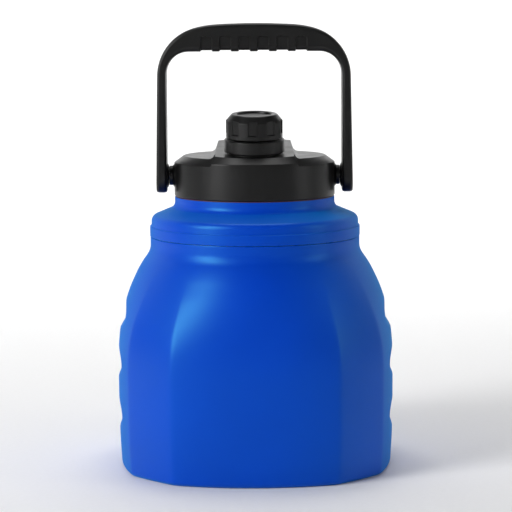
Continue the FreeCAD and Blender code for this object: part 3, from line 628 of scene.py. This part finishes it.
def make_base_plate():
    edge, _, inside_top = node_box("base_plate")[1]
    recess = 3.2
    dimple = recess + 1.4
    ridge = recess + 0.7
    wall = STEEL_WALL
    corners = [
        (0, dimple, 0), (5.0, dimple, 0.6), (6.5, recess, 0.6), (24.0, recess, 0.4),
        (25.0, ridge, 0.4), (40.0, ridge, 0.4), (41.0, recess, 0.4),
        (64.0, recess, 2.0), (68.0, wall, 2.0), (edge, wall, 0),
        (edge, 2 * wall, 0), (68.4, 2 * wall, 1.5), (64.4, recess + wall, 1.5),
        (7.0, recess + wall, 0.4), (5.4, inside_top, 0.4), (0, inside_top, 0),
    ]
    return lathe("base_cover", corners, BLUE, "jug", ["base_plate"], 192)


# ---------------------------------------------------------------- lid

WALL_TOP = 212.2
DECK_Z = 217.0
DECK_RADIUS = 49.5
CHAMFER_SLOPE = (DECK_Z - WALL_TOP) / (LID_RADIUS - DECK_RADIUS)
BLOCK_WALL_TOP = 214.0
BLOCK_FOOT = 30.0
BLOCK_FOOT_Z = 212.0
BLOCK_DRAFT = 0.317
BLOCK_WALL_ROUND = 2.2
BLOCK_EDGE_ROUND = 0.6
SHARP_DEGREES = 16
FOOT_FILLET = 4.0
LID_INSIDE = LID_RADIUS - 2.8
LID_DECK_WALL = 3.2
SPOUT_RADIUS = 12.6
SPOUT_BORE = 10.6
PIVOT_BOSS_RADIUS = 6.84
PIVOT_BOSS_START = 52.6
PIVOT_BOSS_END = 59.6
PIVOT_FLARE_END = 57.4
PIN_BORE_RADIUS = 2.5


def lathe_helper(name, corners, segments, matrix=None):
    """A turned mesh for a boolean to work on or use up."""
    outline = rounded(corners)
    vertices = lathe_grid(outline, segments)
    if matrix is not None:
        vertices = placed(vertices, matrix)
    return mesh_object(name, vertices, grid_faces(len(outline), segments))


def combine(target, tool, operation):
    """Apply an exact boolean to the target and remove the tool."""
    step = target.modifiers.new("step", "BOOLEAN")
    step.object = tool
    step.operation = operation
    step.solver = "EXACT"
    graph = bpy.context.evaluated_depsgraph_get()
    result = bpy.data.meshes.new_from_object(target.evaluated_get(graph))
    target.modifiers.clear()
    old = target.data
    target.data = result
    result.name = target.name
    bpy.data.meshes.remove(old)
    bpy.data.objects.remove(tool)


def sharp_edges(shape, above):
    """The creased edges of a bmesh that lie above a height in millimetres."""
    return [
        edge for edge in shape.edges
        if len(edge.link_faces) == 2 and edge.calc_face_angle() > math.radians(SHARP_DEGREES)
        and min(vertex.co.z for vertex in edge.verts) > above * MM
    ]


def raised_block():
    """The block on the lid: a cone front, leaning sides and a top that slopes forward, edges rounded."""
    peak = DECK_RADIUS / 2
    top = BLOCK_WALL_TOP + CHAMFER_SLOPE * (LID_RADIUS - peak)
    floor = DECK_Z - 2.0
    corners = [
        (0, floor - 1.0, 0), (LID_INSIDE, floor - 1.0, 0), (LID_RADIUS, floor - 4.0, 0),
        (LID_RADIUS, BLOCK_WALL_TOP, 0.8), (peak, top, 0), (0, top, 0),
    ]
    block = lathe_helper("raised_block", corners, 288)
    shape = bmesh.new()
    shape.from_mesh(block.data)
    cuts = [(Vector(SPOUT_SEAT) * MM, Vector(SPOUT_AXIS))]
    for side in (-1, 1):
        lean = Vector((side, 0, BLOCK_DRAFT)).normalized()
        cuts.append((Vector((side * BLOCK_FOOT, 0, BLOCK_FOOT_Z)) * MM, lean))
    for point, normal in cuts:
        everything = shape.verts[:] + shape.edges[:] + shape.faces[:]
        cut = bmesh.ops.bisect_plane(
            shape, geom=everything, plane_co=point, plane_no=normal, clear_outer=True, dist=1e-7
        )
        rim = [item for item in cut["geom_cut"] if isinstance(item, bmesh.types.BMEdge)]
        bmesh.ops.contextual_create(shape, geom=rim)
    bmesh.ops.recalc_face_normals(shape, faces=shape.faces)
    along_walls = [
        edge for edge in sharp_edges(shape, DECK_Z - 2.9)
        if max(abs(face.normal.x) for face in edge.link_faces) > 0.9
        and min(face.normal.z for face in edge.link_faces) < 0.5
        and max(face.normal.z for face in edge.link_faces) > 0.9
    ]
    bmesh.ops.bevel(
        shape, geom=along_walls, offset=BLOCK_WALL_ROUND * MM, segments=6, profile=0.5, affect="EDGES",
        clamp_overlap=True,
    )
    bmesh.ops.bevel(
        shape, geom=sharp_edges(shape, DECK_Z - 2.9), offset=BLOCK_EDGE_ROUND * MM, segments=3, profile=0.5,
        affect="EDGES", clamp_overlap=True,
    )
    shape.to_mesh(block.data)
    shape.free()
    return block


def foot_fillet(side):
    """Concave fillet where a wall of the raised block meets the deck."""
    lean = math.atan(BLOCK_DRAFT)
    corner_x = BLOCK_FOOT - BLOCK_DRAFT * (DECK_Z - BLOCK_FOOT_Z)
    reach = FOOT_FILLET / math.tan((math.pi / 2 + lean) / 2)
    angles = np.linspace(math.pi + lean, 1.5 * math.pi, 9)
    centre = np.array([corner_x + reach, DECK_Z + FOOT_FILLET])
    arc = centre + FOOT_FILLET * np.stack([np.cos(angles), np.sin(angles)], axis=-1)
    section = np.concatenate([
        [[corner_x - 0.8, DECK_Z - 0.4], [arc[0][0] - 0.5, arc[0][1]]], arc, [[arc[-1][0], DECK_Z - 0.4]],
    ])
    half_length = DECK_RADIUS
    vertices = [(side * x, end * half_length, z) for end in (-1, 1) for x, z in section]
    count = len(section)
    faces = grid_faces(2, count, close_rows=False)
    faces += [tuple(range(count)), tuple(range(count, 2 * count))]
    strip = mesh_object("foot_fillet", vertices, faces)
    round_end = [(0, DECK_Z - 2, 0), (DECK_RADIUS - 0.4, DECK_Z - 2, 0),
                 (DECK_RADIUS - 0.4, DECK_Z + 12, 0), (0, DECK_Z + 12, 0)]
    combine(strip, lathe_helper("round_end", round_end, 288), "INTERSECT")
    return strip


def make_lid_shell():
    corners = [
        (LID_INSIDE, LID_BOTTOM, 0.3), (LID_RADIUS, LID_BOTTOM, 0.9), (LID_RADIUS, WALL_TOP, 0.9),
        (DECK_RADIUS, DECK_Z, 0.9), (0, DECK_Z, 0), (0, DECK_Z - LID_DECK_WALL, 0),
        (DECK_RADIUS - 1.5, DECK_Z - LID_DECK_WALL, 0.8), (LID_INSIDE, DECK_Z - 7.0, 0.8),
    ]
    lid = lathe_helper("lid_cover", corners, 288)
    combine(lid, raised_block(), "UNION")
    for side in (-1, 1):
        combine(lid, foot_fillet(side), "UNION")
    boss = PIVOT_BOSS_RADIUS
    inner_end = PIVOT_BOSS_START
    outer_end = PIVOT_BOSS_END
    for side in (-1, 1):
        boss_corners = [
            (0, inner_end, 0), (boss, inner_end, 0.3), (boss, outer_end, 0.6), (0, outer_end, 0),
        ]
        combine(lid, lathe_helper("boss", boss_corners, 96, pivot_frame(side)), "UNION")
        flare = [
            (0, inner_end + 1.0, 0), (boss + 2.6, inner_end + 1.0, 0), (boss + 2.2, 55.6, 1.2),
            (boss - 0.2, PIVOT_FLARE_END, 1.2), (0, PIVOT_FLARE_END, 0),
        ]
        combine(lid, lathe_helper("flare", flare, 96, pivot_frame(side)), "UNION")
    passage = [(0, -12.0, 0), (SPOUT_RADIUS, -12.0, 0), (SPOUT_RADIUS, 8.0, 0), (0, 8.0, 0)]
    combine(lid, lathe_helper("passage", passage, 128, SPOUT_FRAME), "DIFFERENCE")
    bore = [(0, 50.0, 0), (PIN_BORE_RADIUS, 50.0, 0), (PIN_BORE_RADIUS, 62.0, 0), (0, 62.0, 0)]
    for side in (-1, 1):
        combine(lid, lathe_helper("bore", bore, 48, pivot_frame(side)), "DIFFERENCE")
    finish_piece(lid, BLACK, "lid", ["lid_shell"])
    make_parting_line()
    return lid


def make_parting_line():
    """The mould's witness line up the front and back of the lid's wall: a hair of flash."""
    half_width = 0.16
    proud = 0.07
    path = [
        (LID_RADIUS, LID_BOTTOM + 1.2), (LID_RADIUS, BLOCK_WALL_TOP - 0.8),
        (DECK_RADIUS + 1.6, BLOCK_WALL_TOP + CHAMFER_SLOPE * (LID_RADIUS - DECK_RADIUS - 1.6)),
    ]
    root = -0.3
    flank = 0.02
    across = [
        (-half_width, root), (-half_width, flank), (0, proud), (half_width, flank), (half_width, root),
    ]
    for name, side in (("parting_line_front", -1), ("parting_line_back", 1)):
        vertices = []
        for radius, height in path:
            vertices += [(x, side * (radius + depth), height) for x, depth in across]
        faces = grid_faces(len(path), 5, close_rows=False)
        faces += [tuple(range(5)), tuple(range(5 * len(path) - 5, 5 * len(path)))]
        new_piece(name, vertices, faces, BLACK, "lid")


def make_plug():
    """Threaded plug under the lid, with its flange."""
    outer = 49.0
    wall = 2.2
    inner = outer - wall
    centre_hole = SPOUT_RADIUS - 6
    floor = PLUG_LOW[2]
    flange, _, top = PLUG_HIGH
    flange_foot = top - 1.6
    corners = [
        (centre_hole, floor, 0), (outer, floor, 3.0), (outer, flange_foot, 0.4), (flange, flange_foot, 0.3),
        (flange, top, 0.2), (inner, top, 0), (inner, floor + wall, 1.5), (centre_hole, floor + wall, 0),
    ]

    def press_thread(radius, height, angle):
        ridge = mouth_ridge(angle, height, 172.5)
        window = ease(height, 172.6, 174.2) * (1 - ease(height, 180.4, 182.0))
        on_wall = (radius > outer - 0.05) & (height < top - 4)
        return np.where(on_wall, radius + MOUTH_RIDGE * ridge * window, radius), height

    outline = subdivided(rounded(corners), 0.6)
    vertices = lathe_grid(outline, 256, press_thread)
    plug = mesh_object("mouth_plug", vertices, grid_faces(len(outline), 256))
    centre = Vector((0, 0, floor))
    filler = [(0, 0, 0), (centre_hole + 0.1, 0, 0), (centre_hole + 0.1, wall, 0), (0, wall, 0)]
    combine(plug, lathe_helper("filler", filler, 256, Matrix.Translation(centre)), "UNION")
    passage = [(0, -70.0, 0), (SPOUT_RADIUS, -70.0, 0), (SPOUT_RADIUS, -20.0, 0), (0, -20.0, 0)]
    combine(plug, lathe_helper("passage", passage, 96, SPOUT_FRAME), "DIFFERENCE")
    finish_piece(plug, PLUG_BLACK, "lid", ["lid_plug"])
    return plug


def make_gasket():
    low, high = node_box("lid_gasket")
    skirt = high[0]
    inner, outer = 50.6, 53.0
    corners = [
        (inner, low[2], 0.3), (skirt, low[2], 0.12), (skirt, LID_BOTTOM, 0.12), (outer, LID_BOTTOM, 0.1),
        (outer, high[2], 0.3), (inner, high[2], 0.3), (inner, high[2] - 0.7, 0.1),
        (inner + 0.35, high[2] - 1.0, 0.1), (inner, high[2] - 1.3, 0.1),
    ]
    return lathe("mouth_gasket_ring", corners, GASKET_RUBBER, "mouth_gasket", ["lid_gasket"],
                 256)


# ---------------------------------------------------------------- spout, collar and cap

COLLAR_RADIUS = 20.8
CAP_RADIUS = 19.45
# A hair below the cap's seal, so that the rim's face and the seal's don't lie in one plane.
SPOUT_TOP = 20.97
SPOUT_BOTTOM = -58.0
COLLAR_FOOT = 1.2
COLLAR_TOP = 10.4
CAP_FOOT = 11.1
CAP_INSIDE = 16.2
CAP_TOP = 27.5
CAP_DISH = 25.8


def make_spout():
    corners = [
        (SPOUT_BORE, SPOUT_BOTTOM, 0.5), (SPOUT_RADIUS, SPOUT_BOTTOM, 0.5), (SPOUT_RADIUS, SPOUT_TOP, 0.9),
        (SPOUT_BORE, SPOUT_TOP, 0.9),
    ]

    def press_thread(radius, height, angle):
        ridge = ridge_height(angle, height, CAP_LEAD, 1, 13.0, 1.8, 0.8)
        window = ease(height, 13.0, 14.0) * (1 - ease(height, 18.2, 19.2))
        on_wall = (radius > SPOUT_RADIUS - 0.05) & (height > 8)
        return np.where(on_wall, radius + SPOUT_RIDGE * ridge * window, radius), height

    return lathe("drinking_spout", corners, PLUG_BLACK, "lid", ["spout_tube"], 160,
                 matrix=SPOUT_FRAME, shape=press_thread, longest=0.4)


def make_collar():
    corners = [
        (SPOUT_RADIUS, COLLAR_FOOT, 0.2), (COLLAR_RADIUS - 0.6, COLLAR_FOOT, 0.4), (COLLAR_RADIUS, 1.9, 0.5),
        (COLLAR_RADIUS, 9.5, 0.6), (COLLAR_RADIUS - 0.8, COLLAR_TOP, 0.6), (14.8, COLLAR_TOP, 0.3),
        (14.4, 9.7, 0.2), (SPOUT_RADIUS, 9.7, 0.1),
    ]
    return lathe("collar_ring", corners, BLACK, "lid", ["spout_collar"], 192,
                 matrix=SPOUT_FRAME)


POCKET_COUNT = 9
POCKET_HALF_WIDTH = 2.95
POCKET_DEPTH = 1.2
POCKET_BOTTOM, POCKET_TOP = 14.4, 23.9
POCKET_TURN = math.radians(-3.5)


def make_cap():
    """Cap with nine grip pockets, a sloping shoulder and a dished top."""
    underside = 23.2
    corners = [
        (CAP_INSIDE, CAP_FOOT, 0.3), (CAP_RADIUS, CAP_FOOT, 0.6), (CAP_RADIUS, 22.9, 0.5), (16.0, 27.0, 0.8),
        (15.2, CAP_TOP, 0.6), (12.2, CAP_TOP, 0.6), (11.6, 26.1, 0.3), (11.3, CAP_DISH, 0.1),
        (0, CAP_DISH, 0), (0, underside, 0), (CAP_INSIDE, underside, 0.3),
    ]
    front = -math.pi / 2 + POCKET_TURN

    def press_pockets(radius, height, angle):
        pitch = FULL_TURN / POCKET_COUNT
        from_middle = (angle - front + pitch / 2) % pitch - pitch / 2
        across = np.abs(np.sin(from_middle)) * radius
        inside = 1 - ease(across, POCKET_HALF_WIDTH - 0.2, POCKET_HALF_WIDTH + 0.2)
        upright = ease(height, POCKET_BOTTOM - 0.2, POCKET_BOTTOM + 0.2)
        upright = upright * (1 - ease(height, POCKET_TOP - 0.2, POCKET_TOP + 0.2))
        flat = (CAP_RADIUS - POCKET_DEPTH) / np.cos(from_middle)
        pressed = radius + (np.minimum(flat, radius) - radius) * inside * upright
        outside = (radius > CAP_INSIDE + 0.2) & (height > CAP_FOOT + 1)
        return np.where(outside, pressed, radius), height

    return lathe("spout_cap", corners, BLACK, "cap", ["cap_shell"], 576,
                 matrix=SPOUT_FRAME, shape=press_pockets, longest=0.3, fine=(13.5, 25.0))


def make_cap_disc():
    corners = [
        (0, 25.6, 0), (11.6, 25.6, 0), (11.6, 26.2, 0.25), (10.2, 26.2, 0.1), (9.9, 26.0, 0.1),
        (9.6, 26.2, 0.1), (0, 26.2, 0),
    ]
    return lathe("cap_top_disc", corners, GRIP_BLACK, "cap", ["cap_disc"], 128,
                 matrix=SPOUT_FRAME)


# ---------------------------------------------------------------- handle

BAIL_HALF_DEPTH = BAIL_HIGH[1]
BAIL_TOP = BAIL_HIGH[2]
BAIL_BOTTOM = BAIL_LOW[2]
GRIP_UNDERSIDE = 289.3
ARM_INNER_X = 61.2
ARM_EDGE = 2.0
GRIP_EDGE = 3.0
GRIP_LOWER_EDGE = 3.4
INNER_CORNER = 16.0
CROWN_HALF_WIDTH = 26.9
CROWN_RADIUS = 452.0
CROWN_DROP = 0.8
SHOULDER_POINT = (41.42, 305.62)
SHOULDER_RADIUS = 71.8
ARM_TOP_POINT = (67.2, 272.6)
ARM_CORNER_RADIUS = 34.9
EYE_RADIUS = 12.1
FINGER_PITCH = 13.16
FINGER_HALF_WIDTH = 3.93
FINGER_COUNT = 6
FINGER_TOP = 299.8
FINGER_DEPTH = 0.95


def arc_points(first, second, radius, steps):
    """Points after the first one along an arc that bulges away from the jug's axis."""
    first, second = np.array(first), np.array(second)
    across = second - first
    length = np.linalg.norm(across)
    left = np.array([-across[1], across[0]]) / length
    centre = (first + second) / 2 + left * math.sqrt(radius ** 2 - length ** 2 / 4)
    start = math.atan2(*(first - centre)[::-1])
    sweep = math.atan2(*(second - centre)[::-1]) - start
    turns = start + sweep * np.arange(1, steps + 1) / steps
    return centre + radius * np.stack([np.cos(turns), np.sin(turns)], axis=-1)


def bail_stations():
    """Pairs of outer and inner points up the right arm, round the corner and along half the grip."""
    stations = []
    crown_end = (CROWN_HALF_WIDTH, BAIL_TOP - CROWN_DROP)
    arm_foot = np.array([BAIL_HIGH[0], BAIL_BOTTOM])
    eye_heights = BAIL_BOTTOM + EYE_RADIUS * (1 - np.cos(np.linspace(0, math.pi / 2, 26)))
    arm_heights = np.linspace(PIVOT_Z, ARM_TOP_POINT[1], 40)[1:]
    for height in np.concatenate([eye_heights, arm_heights]):
        share = (height - BAIL_BOTTOM) / (ARM_TOP_POINT[1] - BAIL_BOTTOM)
        outer_x = arm_foot[0] + (ARM_TOP_POINT[0] - arm_foot[0]) * share
        stations.append((np.array([outer_x, height]), np.array([ARM_INNER_X, height])))
    outer_corner = arc_points(ARM_TOP_POINT, SHOULDER_POINT, ARM_CORNER_RADIUS, 48)
    inner_start = (ARM_INNER_X, GRIP_UNDERSIDE - INNER_CORNER)
    inner_end = (ARM_INNER_X - INNER_CORNER, GRIP_UNDERSIDE)
    inner_corner = arc_points(inner_start, inner_end, INNER_CORNER, len(outer_corner))
    stations += list(zip(outer_corner, inner_corner))
    spread = inner_end[0] / SHOULDER_POINT[0]
    for outer in arc_points(SHOULDER_POINT, crown_end, SHOULDER_RADIUS, 64):
        stations.append((outer, np.array([outer[0] * spread, GRIP_UNDERSIDE])))
    for outer_x in np.linspace(CROWN_HALF_WIDTH, 0, 120)[1:]:
        outer = np.array([outer_x, BAIL_TOP - outer_x ** 2 / (2 * CROWN_RADIUS)])
        stations.append((outer, np.array([outer_x * spread, GRIP_UNDERSIDE])))
    return stations


def section_outline(thickness, half_depth, outer_edge, inner_edge):
    """A rounded box section, from the outer face inwards: across is nought on the outer face."""
    outer_edge = min(outer_edge, thickness * 0.48, half_depth * 0.98)
    inner_edge = min(inner_edge, thickness * 0.48, half_depth * 0.98)
    quarter = np.linspace(0, math.pi / 2, 7)
    side_runs = np.linspace(0, 1, 60)[1:-1]
    points = []
    for angle in quarter:
        points.append((outer_edge * (1 - math.cos(angle)), half_depth - outer_edge * (1 - math.sin(angle))))
    for run in side_runs:
        points.append((outer_edge + (thickness - outer_edge - inner_edge) * run, half_depth))
    for angle in quarter:
        points.append((
            thickness - inner_edge * (1 - math.sin(angle)),
            half_depth - inner_edge * (1 - math.cos(angle)),
        ))
    flat = np.linspace(1, 0, 7)[1:-1]
    inner_flat = [(thickness, (half_depth - inner_edge) * (2 * run - 1)) for run in flat]
    mirrored = [(across, -depth) for across, depth in points[::-1]]
    outer_flat = [(0.0, -(half_depth - outer_edge) * (2 * run - 1)) for run in flat]
    return np.array(points + inner_flat + mirrored + outer_flat)


def pocket_share(x, z):
    """How far inside a finger pocket a point of the grip is, from nought to one."""
    first = -FINGER_PITCH * (FINGER_COUNT - 1) / 2
    nearest = np.clip(np.round((x - first) / FINGER_PITCH), 0, FINGER_COUNT - 1)
    across = np.abs(x - first - nearest * FINGER_PITCH)
    corner = 1.6
    beside = np.maximum(across - (FINGER_HALF_WIDTH - corner), 0)
    above = np.maximum(z - (FINGER_TOP - corner), 0)
    distance = np.sqrt(beside ** 2 + above ** 2)
    return 1 - ease(distance, corner - 0.2, corner + 0.15)


def bail_half():
    rows = []
    for outer, inner in bail_stations():
        thickness = float(np.linalg.norm(inner - outer))
        direction = (inner - outer) / thickness
        level = outer[1]
        half_depth = BAIL_HALF_DEPTH
        on_arm = outer[0] > 66
        if level < PIVOT_Z and on_arm:
            half_depth = math.sqrt(max(EYE_RADIUS ** 2 - (PIVOT_Z - level) ** 2, 0.0))
            half_depth = max(half_depth, 0.6)
        grip = float(ease(np.array(inner[1]), GRIP_UNDERSIDE - 12.0, GRIP_UNDERSIDE))
        outer_edge = ARM_EDGE + (GRIP_EDGE - ARM_EDGE) * grip
        inner_edge = ARM_EDGE + (GRIP_LOWER_EDGE - ARM_EDGE) * grip
        pinch = 0.0
        if level < BAIL_BOTTOM + ARM_EDGE and on_arm:
            rise = ARM_EDGE - (level - BAIL_BOTTOM)
            pinch = ARM_EDGE - math.sqrt(max(ARM_EDGE ** 2 - rise ** 2, 0.0))
        section = section_outline(thickness - 2 * pinch, half_depth, outer_edge, inner_edge)
        across = section[:, 0] + pinch
        points = outer[None, :] + direction[None, :] * across[:, None]
        row = np.stack([points[:, 0], section[:, 1], points[:, 1]], axis=-1)
        rows.append(row)
    return rows


def make_bail():
    right = bail_half()
    left = [row * np.array([-1, 1, 1]) for row in right[::-1]][1:]
    rows = np.array(right + left)
    x, y, z = rows[..., 0], rows[..., 1], rows[..., 2]
    on_grip = (np.abs(x) < 45) & (z > GRIP_UNDERSIDE - 0.5)
    depth = FINGER_DEPTH * pocket_share(x, z) * on_grip
    face = ease(np.abs(y), BAIL_HALF_DEPTH - 2.5, BAIL_HALF_DEPTH - 0.5)
    under = 1 - ease(z, GRIP_UNDERSIDE + 0.5, GRIP_UNDERSIDE + 3.0)
    rows[..., 1] = y - np.sign(y) * depth * face
    rows[..., 2] = z + depth * under
    count, width = rows.shape[0], rows.shape[1]
    faces = grid_faces(count, width, close_rows=False)
    faces += [tuple(range(width)), tuple(range((count - 1) * width, count * width))]
    vertices = rows.reshape(-1, 3)
    return new_piece("bail", vertices, faces, GRIP_BLACK, "handle", ["handle_bail"])


def make_bush(name, side, node):
    bore = 2.56
    sleeve = 5.0
    flange = 8.4
    inner_face = PIVOT_BOSS_END + 0.3
    sleeve_end = 66.4
    corners = [
        (bore, inner_face, 0.1), (6.9, inner_face, 0.4), (flange, ARM_INNER_X - 0.5, 0.3),
        (flange, ARM_INNER_X, 0), (sleeve, ARM_INNER_X, 0), (sleeve, sleeve_end, 0), (bore, sleeve_end, 0),
    ]
    return lathe(name, corners, BLACK, "handle", [node], 96, matrix=pivot_frame(side))


# ---------------------------------------------------------------- studio

def make_floor():
    """A pale floor that curves up into a round wall, well outside every camera."""
    floor_radius = 3600.0
    bend = 1400.0
    outline = [(0.0, 0.0), (400.0, 0.0), (1200.0, 0.0), (floor_radius - bend, 0.0)]
    for step in range(1, 25):
        angle = step / 24 * math.pi / 2
        outline.append((floor_radius - bend + bend * math.sin(angle), bend * (1 - math.cos(angle))))
    outline.append((floor_radius, 3200.0))
    vertices = lathe_grid(np.array(outline), 128)
    faces = grid_faces(len(outline), 128, close_rows=False)
    floor = mesh_object("studio_floor", vertices, faces)
    floor.data.polygons.foreach_set("use_smooth", [True] * len(floor.data.polygons))
    floor.data.materials.append(floor_paper())


def add_light(name, position, target, width, height, power):
    data = bpy.data.lights.new(name, "AREA")
    data.shape = "RECTANGLE"
    data.size = width
    data.size_y = height
    data.energy = power
    light = bpy.data.objects.new(name, data)
    light.location = position
    aim = Vector(target) - Vector(position)
    light.rotation_euler = aim.to_track_quat("-Z", "Y").to_euler()
    bpy.context.scene.collection.objects.link(light)


# Each lamp's name, place, the point it faces, width, height (all in metres) and power in watts.
JUG_MIDDLE = (0, 0, 0.15)
LAMPS = (
    ("key_left", (-1.3, -0.95, 0.85), JUG_MIDDLE, 0.6, 1.2, 24),
    ("fill_right", (1.5, -0.5, 0.6), JUG_MIDDLE, 0.4, 1.1, 3),
    ("top", (0.0, 0.5, 1.9), JUG_MIDDLE, 1.2, 1.0, 13),
    ("backdrop", (0.0, 1.3, 2.1), (0, 3.4, 0.6), 2.0, 0.8, 62),
)
WORLD_STRENGTH = 0.06


def make_studio():
    make_floor()
    for lamp in LAMPS:
        add_light(*lamp)
    world = bpy.data.worlds.new("studio")
    world.use_nodes = True
    world.node_tree.nodes["Background"].inputs["Color"].default_value = (1, 1, 1, 1)
    world.node_tree.nodes["Background"].inputs["Strength"].default_value = WORLD_STRENGTH
    bpy.context.scene.world = world
    bpy.context.scene.view_settings.view_transform = "Standard"


CAMERA_PLACE = (0.00065, -1.450, 0.321)
LENS_MM = 145.6
TIP_DOWN_DEGREES = 6.903
ROLL_DEGREES = -0.35


def make_camera():
    """Long lens a metre and a half in front, a little above the handle's top and tipped down."""
    camera = bpy.data.cameras.new("camera")
    camera.sensor_width = 36.0
    camera.lens = LENS_MM
    camera.clip_end = 20.0
    rig = bpy.data.objects.new("camera", camera)
    tip_down = math.radians(TIP_DOWN_DEGREES)
    roll = math.radians(ROLL_DEGREES)
    turn = Matrix.Rotation(math.pi / 2 - tip_down, 4, "X") @ Matrix.Rotation(roll, 4, "Z")
    rig.matrix_world = Matrix.Translation(CAMERA_PLACE) @ turn
    bpy.context.scene.collection.objects.link(rig)
    bpy.context.scene.camera = rig


# ---------------------------------------------------------------- the object

def paint_node(name, material):
    """Give a carried-over CAD node its material."""
    node = frame["nodes"][name]
    node.data.materials.clear()
    node.data.materials.append(material)


make_camera()
make_studio()
make_body_shell()
make_shoulder()
make_liner()
make_base_plate()
make_lid_shell()
make_plug()
make_gasket()
make_spout()
make_collar()
make_cap()
make_cap_disc()
make_bail()
make_bush("bush_left", -1, "pivot_bush_left")
make_bush("bush_right", 1, "pivot_bush_right")
for node_name, node_material in {
    "vacuum_seal_bead": SEAL_METAL,
    "vacuum_getter": GETTER,
    "lid_insulation": FOAM,
    "spout_gasket": BLACK_RUBBER,
    "cap_thread_insert": PLUG_BLACK,
    "cap_seal": SILICONE,
    "pivot_pin_left": PIN_STEEL,
    "pivot_pin_right": PIN_STEEL,
}.items():
    paint_node(node_name, node_material)
